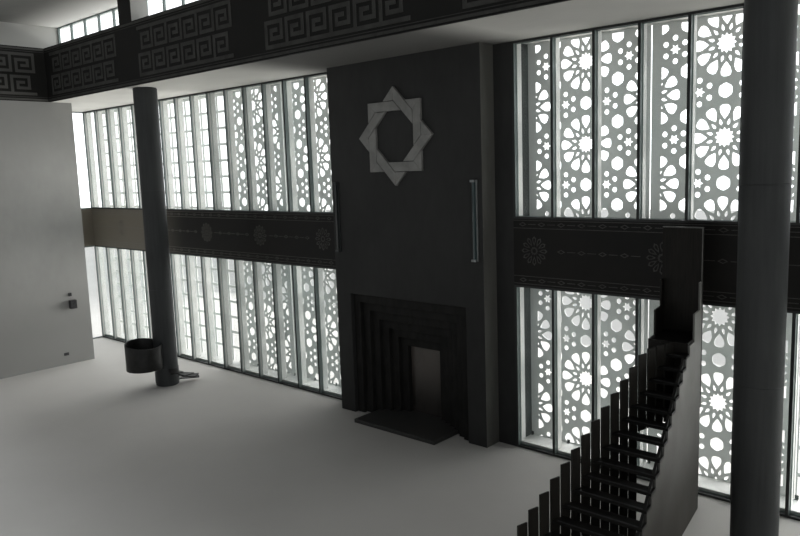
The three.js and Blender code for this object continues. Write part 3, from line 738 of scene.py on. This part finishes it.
# Fins, ledge and kerb outside the glass
# Pale painted fins stand behind the mullions, and a ledge at mid height and a kerb at the foot
# reach out to hold the screens. Small bolted cleats fix each screen to both.
fin_tones = (0.74, 0.74, 0.72), (0.62, 0.62, 0.595)
fin_painted_shade_left = (0.47, 0.46, 0.44)
fin_paint, wire = surface("pale_fin_paint")
run = wire.clouds(0.5, (1.0, 1.0, 0.15))
speck = wire.clouds(0.01, detail=2.0)
tone = (run * 0.8 + speck * 0.2).tones(0.38, 0.66, *fin_tones)
# Painted shade: the fins are painted darker towards the far left.
tone = wire.mix(wire.along("X").ramp(-3.5, -7.5), tone, fin_painted_shade_left)
wire.dress(tone, run * 0.25 + 0.35, speck, 0.0004)
paint_nodes(fin_paint, "pale_fins", "screen_carrier_left", "screen_carrier_right")

screen_low, screen_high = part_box("screen_1_right")
ledge_high = 4.06
kerb_high = 0.09
cleat_half = 0.030
cleat_reach = 0.045
cleat_thick = 0.008
cleat_rise = 0.070
bolt_radius = 0.010
bolt_rise = 0.017
bolt_reach = 0.027
bolt_sides = 6
for side, turn in sides.items():
    cleats = bmesh.new()
    for mullion in range(module_count + 1):
        x = turn * (first_mullion + mullion * module)
        y = screen_low.y
        for z in (kerb_high, ledge_high):
            for reach, rise in ((cleat_reach, cleat_thick), (cleat_thick, cleat_rise)):
                box_into(cleats, (x - cleat_half, y - reach, z), (x + cleat_half, y, z + rise))
            bolt = [(0.0, z), (bolt_radius, z), (bolt_radius, z + bolt_rise), (0.0, z + bolt_rise)]
            lathe_into(cleats, bolt, (x, y - bolt_reach), bolt_sides)
    piece("screen_cleats_" + side, cleats, frame_paint, edge=0.001, segments=1)


# Pierced screens
# Grey panels of cast sheet, cut right through. The two beside the block carry twelve-pointed
# rosettes on a triangular lattice, and the three beyond carry a plain grid of squares.
screen_grey = (0.54, 0.545, 0.53)
screen_pale = (0.64, 0.64, 0.62)
screen_painted_light_right = (0.63, 0.635, 0.625)
screen_painted_light_left = (0.72, 0.71, 0.69)
screen_outside_shade_dark = (0.075, 0.073, 0.068)
screen_outside_shade_pale = (0.110, 0.108, 0.101)
screen_paint, wire = surface("screen_cast_grey")
weather = wire.clouds(0.8, (1.0, 1.0, 0.3))
sand = wire.clouds(0.005, detail=3.0)
tone = (weather * 0.7 + sand * 0.3).tones(0.40, 0.62, screen_grey, screen_pale)
# Painted light: the screens are painted paler towards the right and towards the far left.
tone = wire.mix(wire.along("X").ramp(-3.0, 3.0), tone, screen_painted_light_right)
tone = wire.mix(wire.along("X").ramp(-5.0, -8.0), tone, screen_painted_light_left)
# Painted shade: the faces that look outwards are painted dark, against the strong light outside.
outer_painted_shade = wire.mix(weather, screen_outside_shade_dark, screen_outside_shade_pale)
tone = wire.mix(wire.past("Y", screen_high.y - 0.001), tone, outer_painted_shade)
wire.dress(tone, sand * 0.2 + 0.6, sand * 0.8 + weather * 0.2, 0.0008)

rosette_pitch = 1.514
rosette_column = 1.262
rosette_height = 1.490
star_tips = 12
star_outer = 0.108
star_inner = 0.080
slit_shape = [(0.134, 0.0), (0.145, 0.012), (0.160, 0.0175), (0.182, 0.012), (0.209, 0.0)]
leaf_shape = [(0.194, 0.0), (0.224, 0.024), (0.262, 0.049), (0.298, 0.058), (0.330, 0.055)]
leaf_shape += [(0.348, 0.034), (0.352, 0.0)]
knot_reach = 0.080
knot_corner = 9
small_star_outer = 0.062
small_star_inner = 0.032
dot_radius = 0.032
dot_distance = 0.128
pattern_half = 1.075
pattern_foot = 0.10
pattern_head = 7.970
sliver = 0.0006


def moved(outline, x, y):
    return [(a + x, b + y) for a, b in outline]


def rosette_holes():
    """Holes that belong to one rosette of the lattice, in units of the rosette pitch.

    They are a star, the leaves and slits round it, the blunt hexagons half way to the next
    rosettes, and between three rosettes a small star with dots round it.
    """
    holes = [star_points(star_tips, star_outer, star_inner)]
    for k in range(star_tips):
        tip = 2 * math.pi * k / star_tips
        holes.append(petal_outline(1.0, tip, leaf_shape))
        holes.append(petal_outline(1.0, tip + math.pi / star_tips, slit_shape))
    for towards in (30, 90, 150):
        ways = [towards + 60 * k + way for k in range(6) for way in (-knot_corner, knot_corner)]
        knot = [polar(knot_reach, math.radians(way)) for way in ways]
        holes.append(moved(knot, *polar(0.5, math.radians(towards))))
    for centre in (1 / math.sqrt(3), -1 / math.sqrt(3)):
        holes.append(moved(star_points(6, small_star_outer, small_star_inner), centre, 0.0))
        dot = star_points(5, dot_radius, dot_radius)
        for k in range(6):
            holes.append(moved(dot, *polar(dot_distance, math.radians(30 + 60 * k), centre)))
    return holes


def trimmed(outlines, x_low, x_high, z_low, z_high):
    """Cuts outlines off at a rectangle, and leaves out what falls outside it or is only a sliver."""
    flat = bmesh.new()
    for outline in outlines:
        flat.faces.new([flat.verts.new((x, z, 0.0)) for x, z in outline])
    for spot, way in (
        ((x_low, 0, 0), (-1, 0, 0)),
        ((x_high, 0, 0), (1, 0, 0)),
        ((0, z_low, 0), (0, -1, 0)),
        ((0, z_high, 0), (0, 1, 0)),
    ):
        everything = flat.verts[:] + flat.edges[:] + flat.faces[:]
        bmesh.ops.bisect_plane(flat, geom=everything, plane_co=spot, plane_no=way, clear_outer=True)
    faces = [face for face in flat.faces if face.calc_area() > sliver]
    kept = [[(loop.vert.co.x, loop.vert.co.y) for loop in face.loops] for face in faces]
    flat.free()
    return kept


half_width = (screen_high.x - screen_low.x) / 2
screen_thick = screen_high.y - screen_low.y
screen_edge = 0.002


def pierced_mesh(name, holes):
    """A screen's sheet with its holes: flat outlines, filled, given a thickness and eased edges."""
    drawing = bpy.data.curves.new(name, "CURVE")
    drawing.dimensions = "2D"
    drawing.fill_mode = "BOTH"
    drawing.extrude = screen_thick / 2 - screen_edge
    drawing.bevel_depth = screen_edge
    drawing.bevel_resolution = 0
    drawing.offset = -screen_edge
    top = screen_high.z
    sheet = [(-half_width, 0.0), (half_width, 0.0), (half_width, top), (-half_width, top)]
    for outline in [sheet] + holes:
        spline = drawing.splines.new("POLY")
        spline.points.add(len(outline) - 1)
        for point, (x, z) in zip(spline.points, outline):
            point.co = (x, z, 0.0, 1.0)
        spline.use_cyclic_u = True
    drawn = bpy.data.objects.new(name, drawing)
    scene.collection.objects.link(drawn)
    shown = drawn.evaluated_get(bpy.context.evaluated_depsgraph_get())
    mesh = bpy.data.meshes.new_from_object(shown)
    bpy.data.objects.remove(drawn)
    mesh.transform(Matrix.Rotation(math.pi / 2, 4, "X"))
    return mesh


squeeze = rosette_column / (math.sqrt(3) / 2)
lattice = []
lattice_rows = range(-2, 7)
for column in (-1, 0, 1):
    x = column * rosette_column
    for row in lattice_rows:
        z = rosette_height + (row + 0.5 * abs(column)) * rosette_pitch
        for hole in rosette_holes():
            lattice.append([(x + a * squeeze, z + b * rosette_pitch) for a, b in hole])
holes = trimmed(lattice, -pattern_half, pattern_half, pattern_foot, pattern_head)
rosette_sheet = pierced_mesh("rosette_sheet", holes)

square_column = module / 2
square_row = 0.466
square_bar = 0.070
squares_across = 6
squares_up = 17
side_margin = (2 * half_width - squares_across * square_column + square_bar) / 2
foot_margin = (screen_high.z - squares_up * square_row + square_bar) / 2
holes = []
for i in range(squares_across):
    for j in range(squares_up):
        x0 = -half_width + side_margin + i * square_column
        z0 = foot_margin + j * square_row
        x1 = x0 + square_column - square_bar
        z1 = z0 + square_row - square_bar
        holes.append([(x0, z0), (x1, z0), (x1, z1), (x0, z1)])
square_sheet = pierced_mesh("square_sheet", holes)

rosette_screens = 2
screens_a_side = 5
for number in range(1, screens_a_side + 1):
    for side in sides:
        node = "screen_" + str(number) + "_" + side
        low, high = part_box(node)
        is_rosette = number <= rosette_screens
        kind = "rosette_" if is_rosette else "square_"
        mesh = (rosette_sheet if is_rosette else square_sheet).copy()
        mesh.transform(Matrix.Translation(((low.x + high.x) / 2, (low.y + high.y) / 2, 0.0)))
        mesh.materials.clear()
        mesh.materials.append(screen_paint)
        screen = bpy.data.objects.new(kind + node, mesh)
        scene.collection.objects.link(screen)
        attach(screen, "root")
        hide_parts(node)


# Block with the niche
# A hollow block faced with smooth charcoal render, floor to ceiling. Its big corners are eased by
# hand, and the square recess for the niche is cast into its front.
block_low, block_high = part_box("mihrab_block")
charcoal_tones = (0.025, 0.0255, 0.0252), (0.039, 0.0395, 0.0388)
cheek_painted_light_pale = (0.125, 0.124, 0.115)
cheek_painted_light_dark = (0.092, 0.091, 0.083)
charcoal, wire = surface("charcoal_render", specular=0.2)
sweep = wire.clouds(1.3, (1.0, 1.0, 0.7))
brush = wire.clouds(0.16, (1.0, 1.0, 0.35))
sand = wire.clouds(0.004, detail=3.0)
tone = (sweep * 0.6 + brush * 0.4).tones(0.36, 0.66, *charcoal_tones)
from_side = wire.math("ABSOLUTE", wire.along("X")) - block_high.x
on_side = wire.math("LESS_THAN", wire.math("ABSOLUTE", from_side), 0.010)
# Painted light: the block's side faces are painted in a much paler copy of the render.
tone = wire.mix(on_side * wire.square_to("X"), tone, wire.mix(brush, cheek_painted_light_pale, cheek_painted_light_dark))
wire.dress(tone, brush * 0.2 + 0.5, sweep * 0.2 + brush * 0.3 + sand * 0.5, 0.0016)
paint_nodes(charcoal, "charcoal_render", "flank_wall_left", "flank_wall_right")

recess_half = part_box("niche_steps")[1].x
recess_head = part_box("niche_steps")[1].z
panel_low, panel_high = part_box("niche_back_panel")
body = bmesh.new()
mouth = [(-recess_half, 0.0), (-recess_half, recess_head), (recess_half, recess_head), (recess_half, 0.0)]
top_corners = [(block_high.x, 0.0), (block_high.x, block_high.z), (block_low.x, block_high.z)]
front_outline = [(block_low.x, 0.0), *mouth, *top_corners]
front, pocket, rear = [
    [body.verts.new((x, y, z)) for x, z in outline]
    for y, outline in (
        (block_low.y, front_outline),
        (panel_high.y, mouth),
        (block_high.y, [front_outline[0], *top_corners]),
    )
]
body.faces.new(front)
body.faces.new(pocket)
body.faces.new(rear)
for k in range(3):
    body.faces.new((front[k + 1], front[k + 2], pocket[k + 1], pocket[k]))
body.faces.new((front[0], front[7], rear[3], rear[0]))
body.faces.new((front[5], front[6], rear[2], rear[1]))
body.faces.new((front[6], front[7], rear[3], rear[2]))
body.faces.new((front[0], front[1], pocket[0], pocket[3], front[4], front[5], rear[1], rear[0]))
block = piece("block_render", body, charcoal, edge=0.008)
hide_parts("mihrab_block")


# Niche
# Six frames of the same render, each one step narrower, lower and deeper, lead in to a panel of
# warm polished stone. A low slab of dark stone lies in front and runs in to the panel.
niche_shaded_tones = (0.0140, 0.0140, 0.0132), (0.0235, 0.0232, 0.0220)
niche_steps = 6
step_width = 0.200
step_depth = 0.100
frames = bmesh.new()
for k in range(1, niche_steps + 1):
    inner = recess_half - k * step_width
    head = recess_head - k * step_width
    start = block_low.y + k * step_depth
    end = panel_low.y if k == niche_steps else start + step_depth
    arch = [(-recess_half, 0.0), (-inner, 0.0), (-inner, head), (inner, head), (inner, 0.0)]
    arch += [(recess_half, 0.0), (recess_half, recess_head), (-recess_half, recess_head)]
    prism_into(frames, [(x, start, z) for x, z in arch], (0.0, end - start, 0.0))
# Painted shade: the frames in the recess are painted darker than the same render on the block's front.
shaded_niche_render, wire = surface("shaded_niche_render", specular=0.12)
brush = wire.clouds(0.16, (1.0, 1.0, 0.35))
sand = wire.clouds(0.004, detail=3.0)
tone = brush.tones(0.36, 0.66, *niche_shaded_tones)
wire.dress(tone, brush * 0.2 + 0.5, brush * 0.4 + sand * 0.6, 0.0014)
reveals = piece("niche_frames", frames, shaded_niche_render, edge=0.005)
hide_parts("niche_steps")

stone_painted_light = (0.110, 0.095, 0.085)
stone_painted_shade = (0.020, 0.018, 0.016)
stone_vein = (0.060, 0.052, 0.047)
warm_stone, wire = surface("warm_stone", coat=0.3)
vein = wire.clouds(0.4, (1.0, 1.0, 0.5), 6.0).contrast(0.48, 0.52)
# Painted light: the stone is painted dark at its foot and light towards its head.
tone = wire.mix(wire.along("Z").ramp(0.1, 1.7), stone_painted_shade, stone_painted_light)
wire.dress(wire.mix(vein * 0.25, tone, stone_vein), vein * 0.1 + 0.30)
back = bmesh.new()
box_into(back, panel_low, panel_high)
stone = piece("niche_stone", back, warm_stone, edge=0.003)
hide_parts("niche_back_panel")


def raise_into(body, plan, foot, rise):
    """Adds an upright prism: a plan, given as pairs, raised from its foot."""
    prism_into(body, [(x, y, foot) for x, y in plan], (0.0, 0.0, rise))


slab_tones = (0.030, 0.030, 0.029), (0.052, 0.052, 0.050)
slab_stone, wire = surface("slab_stone")
fleck = wire.clouds(0.03, detail=6.0)
wire.dress(fleck.tones(0.42, 0.60, *slab_tones), fleck * 0.2 + 0.35, fleck, 0.0008)
plinth_low, plinth_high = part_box("mihrab_plinth")
slab_gap = 0.002
first_frame = 3
wide_back = block_low.y + first_frame * step_depth - 2 * slab_gap
half_plan = [(plinth_high.x, plinth_low.y), (plinth_high.x, wide_back)]
for k in range(first_frame, niche_steps + 1):
    half = recess_half - k * step_width - slab_gap
    back = plinth_high.y if k == niche_steps else wide_back + (k + 1 - first_frame) * step_depth
    half_plan += [(half, half_plan[-1][1]), (half, back)]
slab = bmesh.new()
raise_into(slab, half_plan + [(-x, y) for x, y in reversed(half_plan)], 0.0, plinth_high.z)
plinth = piece("niche_slab", slab, slab_stone, edge=0.010)
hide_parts("mihrab_plinth")


# Star on the block
# Two square bands of painted board, set at an angle of an eighth turn, pass over and under each
# other in turn. They are fixed to the render with hidden screws.
relief_tones = (0.190, 0.190, 0.182), (0.250, 0.250, 0.238)
relief_paint, wire = surface("relief_paint")
brush = wire.clouds(0.12, (0.5, 1.0, 0.5))
tone = brush.tones(0.38, 0.64, *relief_tones)
relief = brush * 0.5 + wire.clouds(0.004, detail=2.0) * 0.5
wire.dress(tone, brush * 0.2 + 0.45, relief, 0.0008)

star_low, star_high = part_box("star_relief")
star_centre = (star_low + star_high) / 2
root_two = math.sqrt(2)
star_band = 0.200
band_gap = 0.010
outer_side = (star_high.x - star_low.x) / 2 / root_two
inner_side = outer_side - star_band
near_gap = inner_side - band_gap
far_gap = outer_side + band_gap


def cut(level, crossing):
    """Where a line at this level across the band meets the edge of the band that crosses it."""
    return level - root_two * crossing, level


short_end = [(-inner_side, inner_side), (-outer_side, outer_side)]
short_end += [cut(outer_side, far_gap), cut(inner_side, far_gap)]
long_end = [cut(inner_side, near_gap), cut(outer_side, near_gap)]
long_end += [(outer_side, outer_side), (inner_side, inner_side)]
star_base = Vector((star_centre.x, star_high.y, star_centre.z))
star_body = bmesh.new()
for eighth in range(8):
    turn = math.radians(45 * eighth)
    along = Vector((-math.sin(turn), 0.0, math.cos(turn)))
    outward = Vector((math.cos(turn), 0.0, math.sin(turn)))
    for outline in (short_end, long_end):
        points = [star_base + along * t + outward * n for t, n in outline]
        prism_into(star_body, points, (0.0, star_low.y - star_high.y, 0.0))
star = piece("woven_star", star_body, relief_paint, edge=0.007)
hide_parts("star_relief")


# Wall lamps
# Slim upright lights beside the star: a grey back tray, a frosted tube cover and two end caps.
cover_tones = (0.017, 0.034, 0.036), (0.026, 0.052, 0.054)
cover_painted_shade_left = (0.007, 0.011, 0.011)
lamp_cover, wire = surface("frosted_cover", coat=0.4)
haze = wire.clouds(0.4, (1.0, 1.0, 0.4))
tone = haze.tones(0.38, 0.64, *cover_tones)
# Painted shade: the left lamp's cover is painted dimmer than the right one's.
wire.dress(wire.mix(wire.along("X").ramp(1.0, -1.0), tone, cover_painted_shade_left), haze * 0.1 + 0.25)
tray_tones = (0.24, 0.25, 0.25), (0.34, 0.36, 0.36)
tray_painted_shade_left = (0.060, 0.066, 0.066)
lamp_tray, wire = surface("lamp_tray_metal", metallic=0.6)
brush = wire.clouds(0.02, (1.0, 1.0, 0.1))
tone = brush.tones(0.35, 0.65, *tray_tones)
# Painted shade: the left lamp's tray is painted dimmer than the right one's.
wire.dress(wire.mix(wire.along("X").ramp(1.0, -1.0), tone, tray_painted_shade_left), brush * 0.2 + 0.3)
tray_thick = 0.030
cap_height = 0.045
cap_inset = 0.008
cover_half = 0.036
cover_steps = 12
for side in sides:
    low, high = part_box("wall_lamp_" + side)
    middle = (low.x + high.x) / 2
    tray_front = high.y - tray_thick
    tray = bmesh.new()
    box_into(tray, (low.x, tray_front, low.z), high)
    for foot in (low.z, high.z - cap_height):
        corner = (high.x - cap_inset, tray_front, foot + cap_height)
        box_into(tray, (low.x + cap_inset, low.y, foot), corner)
    tray_piece = piece("lamp_tray_" + side, tray, lamp_tray, edge=0.003)
    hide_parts("wall_lamp_" + side)
    cover = bmesh.new()
    bulge = tray_front - low.y - cap_inset
    arc = []
    for k in range(cover_steps + 1):
        angle = math.pi * k / cover_steps
        arc.append((middle + cover_half * math.cos(angle), tray_front - bulge * math.sin(angle)))
    raise_into(cover, arc, low.z + cap_height, high.z - low.z - 2 * cap_height)
    piece("lamp_cover_" + side, cover, lamp_cover, smooth=True)


# Pulpit stair
# A steep straight stair that widens towards the hall. Dark boards stand along its left side, one
# to a tread, and a pale rendered wall carries the right ends of the open treads and steps up to
# guard the platform. The platform is a closed dark box hung on that wall, with a tall back board.
timber_painted_shade = (0.0030, 0.0029, 0.0027)
timber_tones = (0.0110, 0.0104, 0.0092), (0.0230, 0.0208, 0.0176)
dark_timber, wire = surface("dark_stained_oak", specular=0.15)
grain = wire.clouds(0.018, (1.0, 1.0, 0.05), 6.0)
figure = wire.clouds(0.3, (1.0, 1.0, 0.25))
tone = (grain * 0.6 + figure * 0.4).tones(0.38, 0.64, *timber_tones)
# Painted shade: level faces high on the platform box are painted near black.
shaded_high_faces = wire.square_to("Z") * wire.along("Z").ramp(2.5, 2.8)
wire.dress(wire.mix(shaded_high_faces, tone, timber_painted_shade), grain * 0.25 + 0.35, grain, 0.0007)

steel_tones = (0.0095, 0.0095, 0.0090), (0.0205, 0.0205, 0.0195)
dark_steel, wire = surface("dark_steel_plate", metallic=0.4)
scuff = wire.clouds(0.15)
fine = wire.clouds(0.003, detail=2.0)
tone = (scuff * 0.8 + fine * 0.2).tones(0.42, 0.64, *steel_tones)
# Painted shade: the steel is painted near black higher up.
tone = wire.mix(wire.along("Z").ramp(1.5, 2.0), tone, timber_painted_shade)
wire.dress(tone, scuff * 0.25 + 0.3, fine, 0.0003)

tread_tones = (0.0060, 0.0056, 0.0052), (0.0140, 0.0130, 0.0118)
tread_timber, wire = surface("worn_tread_oak", specular=0.15)
grain = wire.clouds(0.018, (0.05, 1.0, 1.0), 6.0)
wear = wire.clouds(0.25)
tone = (grain * 0.4 + wear * 0.6).tones(0.40, 0.62, *tread_tones)
# Painted shade: the treads are painted near black towards the top of the stair.
tone = wire.mix(wire.along("Z").ramp(1.5, 2.0), tone, timber_painted_shade)
wire.dress(tone, wear * 0.3 + 0.30, grain, 0.0007)

guard_tones = (0.215, 0.214, 0.205), (0.168, 0.166, 0.157)
guard_painted_shade = (0.020, 0.0165, 0.0120)
guard_paint, wire = surface("pale_guard_render")
sweep = wire.clouds(0.7)
sand = wire.clouds(0.005, detail=3.0)
# Painted shade: the guard wall is painted much darker towards its foot.
shaded_foot = wire.along("Z").ramp(2.8, 0.5) * 0.96
tone = wire.mix(shaded_foot, sweep.tones(0.36, 0.66, *guard_tones), guard_painted_shade)
wire.dress(tone, sweep * 0.2 + 0.6, sweep * 0.3 + sand * 0.7, 0.0010)

stair_back = -0.550
stair_right = 6.390
stair_left = 6.443
right_spread = 0.140
left_spread = 0.234
treads = 18
first_rise = 0.1225
riser = 0.1565
going = 0.2005
nosing = 0.015
tread_thick = 0.040
first_tread = -4.940
board_thick = 0.025
board_gap = 0.037
board_first_top = 0.707
board_step = 0.155
floor_boards = 14
kicker_high = 0.060
peg_drop = 0.060
peg_half = 0.030
guard_thick = 0.030
guard_middle = 3.338
guard_high = 3.776
guard_first = -1.020
guard_second = -0.680
box_width = 0.650
box_floor = 0.040
box_wall = 0.030
contact = 0.0004
box_low, box_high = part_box("pulpit_platform")


def right_edge(y):
    return stair_right + right_spread * (stair_back - y)


def left_edge(y):
    return stair_left - left_spread * (stair_back - y)


def tread_front(n):
    return first_tread + (n - 1) * going


def tread_top(n):
    return first_rise + (n - 1) * riser


def between(body, left, right, y0, y1, foot, rise):
    """Adds an upright prism between two lines that spread, given as functions of y."""
    raise_into(body, [(left(y0), y0), (right(y0), y0), (right(y1), y1), (left(y1), y1)], foot, rise)


def board_into(body, y0, y1, foot, top):
    between(body, lambda y: left_edge(y) - board_thick, left_edge, y0, y1, foot, top - foot)


platform_start = tread_front(treads + 1)
platform_top = tread_top(treads + 1)
boards = bmesh.new()
for n in range(1, treads + 1):
    joint = tread_front(n) + going - board_gap
    end = platform_start - contact if n == treads else joint
    foot = 0.0 if n <= floor_boards else box_low.z
    top = min(board_first_top + (n - 1) * board_step, platform_top)
    board_into(boards, tread_front(n), end, foot, top)
    if n < floor_boards:
        board_into(boards, joint, joint + board_gap, 0.0, kicker_high)
    if n < treads:
        peg = tread_top(n) - peg_drop
        board_into(boards, joint, joint + board_gap, peg - peg_half, peg + peg_half)
stair_boards = piece("pulpit_upright_boards", boards, dark_timber, edge=0.003, segments=1)
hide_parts("pulpit_boards")

floor_under = platform_top - box_floor
crest = [(guard_second, guard_high), (guard_second, guard_middle), (guard_first, guard_middle)]
crown = [(stair_back, 0.0), (stair_back, guard_high), *crest, (guard_first, floor_under)]
crown.append((platform_start + nosing, floor_under))
for n in range(treads, 0, -1):
    seat = tread_top(n) - tread_thick
    crown += [(tread_front(n + 1) + nosing, seat), (tread_front(n) + nosing, seat)]
crown.append((tread_front(1) + nosing, 0.0))
guard = bmesh.new()
prism_into(guard, [(right_edge(y) - guard_thick, y, z) for y, z in crown], (guard_thick, 0.0, 0.0))
guard_wall = piece("pulpit_guard_wall", guard, guard_paint, edge=0.004)
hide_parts("pulpit_side_wall")

flight = bmesh.new()
for n in range(1, treads + 1):
    start = tread_front(n)
    end = min(start + going + nosing, platform_start) - contact
    between(flight, left_edge, right_edge, start, end, tread_top(n) - tread_thick, tread_thick)
stair_treads = piece("pulpit_treads", flight, tread_timber, edge=0.006)
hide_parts("pulpit_flight")

carriage_thick = 0.040
carriage_foot = 0.200
carriage_deep = 0.120
carriage_tuck = 0.020
beam_start = first_tread + carriage_thick
beam_end = platform_start - contact
beam_top = tread_top(treads) - carriage_tuck
side_view = [(beam_start, 0.0), (beam_start + carriage_foot, 0.0)]
side_view += [(beam_end, beam_top - carriage_deep), (beam_end, beam_top)]
side_view += [(tread_front(treads), beam_top), (beam_start, tread_top(1) - carriage_tuck)]
off_wall = guard_thick + contact + carriage_thick
carriage = bmesh.new()
outline = [(right_edge(y) - off_wall, y, z) for y, z in side_view]
prism_into(carriage, outline, (carriage_thick, 0.0, 0.0))
piece("pulpit_carriage", carriage, dark_steel, edge=0.002, segments=1)

grip_inset = 0.060
grip_start = 0.025
grip_end = 0.055
grip_thick = 0.0015
grip = bmesh.new()
for n in range(1, treads + 1):
    start, end = tread_front(n) + grip_start, tread_front(n) + grip_end
    lines = (lambda y: left_edge(y) + grip_inset, lambda y: right_edge(y) - grip_inset)
    between(grip, *lines, start, end, tread_top(n), grip_thick)
piece("tread_grips", grip, moulding)


def box_left(y):
    return right_edge(y) - box_width


def box_inner_left(y):
    return box_left(y) + box_wall + contact


def box_inner_right(y):
    return right_edge(y) - guard_thick - contact


platform_end = stair_back - contact
front_end = platform_start + box_wall
above_base = box_low.z + box_wall
platform = bmesh.new()
for end, foot, head in (
    (platform_end, floor_under, platform_top),
    (platform_end, box_low.z, above_base),
    (front_end, above_base, floor_under),
):
    between(platform, box_inner_left, box_inner_right, platform_start, end, foot, head - foot)
cheek = [(platform_start, box_low.z), (platform_end, box_low.z), (platform_end, guard_high), *crest]
cheek += [(guard_first, platform_top), (platform_start, platform_top)]
prism_into(platform, [(box_left(y), y, z) for y, z in cheek], (box_wall, 0.0, 0.0))
box_into(platform, (box_low.x, stair_back, box_low.z), (stair_right, box_high.y, box_high.z))
platform_box = piece("pulpit_platform_box", platform, dark_timber, edge=0.003)
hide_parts("pulpit_platform")

trim_tones = (0.10, 0.10, 0.095), (0.16, 0.16, 0.15)
trim_metal, wire = surface("edge_trim", metallic=0.5)
rub = wire.clouds(0.1)
wire.dress(rub.tones(0.35, 0.65, *trim_tones), rub * 0.2 + 0.3)
trim_width = 0.018
trim_thick = 0.004
trim_front = stair_back - trim_thick
trim_left = stair_right - trim_width
trim_foot = box_high.z - trim_width
trim = bmesh.new()
box_into(trim, (trim_left, trim_front, guard_high), (stair_right, stair_back, box_high.z))
box_into(trim, (box_low.x, trim_front, trim_foot), (trim_left, stair_back, box_high.z))
piece("pulpit_panel_trim", trim, trim_metal, edge=0.001, segments=1)


# Round lectern
# A drum of dark steel plate, open at the top, clasps the front of the left column. Its rim slopes
# up away from the niche, and thin curved blades wind up to it from the floor round the column.
column_low, column_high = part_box("column_left")
axis_x = (column_low.x + column_high.x) / 2
axis_y = (column_low.y + column_high.y) / 2
column_radius = (column_high.x - column_low.x) / 2
drum_low, drum_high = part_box("lectern_drum")
drum_radius = (drum_high.x - drum_low.x) / 2
drum_reach = 0.640
drum_y = axis_y - drum_reach
drum_wall = 0.030
drum_floor = 0.040
drum_edge = 0.008
rim_slope = 0.150
wall_steps = 80
curl_steps = 8
bite_steps = 12
shaft_radius = column_radius + 0.0005


def opening_angle(radius):
    """Half the angle that the column takes out of a circle round the drum's axis."""
    part = (radius**2 + drum_reach**2 - shaft_radius**2) / (2 * radius * drum_reach)
    return math.acos(part)


def round_drum(radius, share):
    """A point on a circle round the drum, going from one side of the column to the other."""
    gap = opening_angle(radius)
    angle = math.pi / 2 + gap + share * (2 * math.pi - 2 * gap)
    return polar(radius, angle, axis_x, drum_y)


def rim_height(x):
    return drum_high.z - rim_slope * (x - axis_x + drum_radius)


drum = bmesh.new()
rim = drum_wall / 2
section = [(drum_radius - drum_wall, 0.0), (drum_radius - drum_edge, 0.0), (drum_radius, drum_edge)]
curl = [polar(rim, math.pi * k / curl_steps, drum_radius - rim, -rim) for k in range(curl_steps + 1)]
rings = []
for step in range(wall_steps + 1):
    ring = []
    for radius, lift in section + curl:
        x, y = round_drum(radius, step / wall_steps)
        level = drum_low.z if len(ring) < len(section) else rim_height(x)
        ring.append(drum.verts.new((x, y, level + lift)))
    rings.append(ring)
for ring, following in zip(rings, rings[1:]):
    for k in range(len(ring)):
        n = (k + 1) % len(ring)
        drum.faces.new((ring[k], ring[n], following[n], following[k]))
drum.faces.new(rings[0])
drum.faces.new(rings[-1])
plate_radius = drum_radius - drum_wall
plate = [round_drum(plate_radius, step / wall_steps) for step in range(wall_steps + 1)]
half_bite = math.asin(plate_radius * math.sin(opening_angle(plate_radius)) / shaft_radius)
for step in range(1, bite_steps):
    angle = -math.pi / 2 + half_bite - step / bite_steps * 2 * half_bite
    plate.append(polar(shaft_radius, angle, axis_x, axis_y))
raise_into(drum, plate, drum_low.z, drum_floor)
lectern = piece("lectern_bowl", drum, dark_steel, smooth=True)
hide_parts("lectern_drum")

steps_reach = 0.850
step_count = 4
step_rise = 0.122
step_plate = 0.022
step_sweep = math.radians(26)
step_gap = math.radians(2)
first_edge = math.radians(80)
edge_steps = 16
collar_thick = 0.012
collar_inner = column_radius + 0.001
collar_outer = collar_inner + collar_thick
collar_foot = step_rise - 0.040
collar_top = step_count * step_rise
collar_sides = 96
weld = 1e-5
collar = [(collar_inner, collar_foot), (collar_outer, collar_foot), (collar_outer, collar_top)]
collar += [(collar_inner, collar_top), (collar_inner, collar_foot)]
hub = bmesh.new()
lathe_into(hub, collar, (axis_x, axis_y), collar_sides)
bmesh.ops.remove_doubles(hub, verts=hub.verts, dist=weld)
near = collar_inner + collar_thick / 2
fan = bmesh.new()
for k in range(step_count):
    start = first_edge - (k + 1) * step_sweep
    end = first_edge - k * step_sweep - step_gap
    arc = [start + (end - start) * step / edge_steps for step in range(edge_steps + 1)]
    blade = [(near, start), *((steps_reach, angle) for angle in arc), (near, end)]
    plan = [polar(reach, angle, axis_x, axis_y) for reach, angle in blade]
    raise_into(fan, plan, (k + 1) * step_rise - step_plate, step_plate)
piece("lectern_collar", hub, column_paint, edge=0.002, segments=1)
lectern_fan = piece("lectern_treads", fan, tread_timber, edge=0.003, segments=1)
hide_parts("lectern_steps")
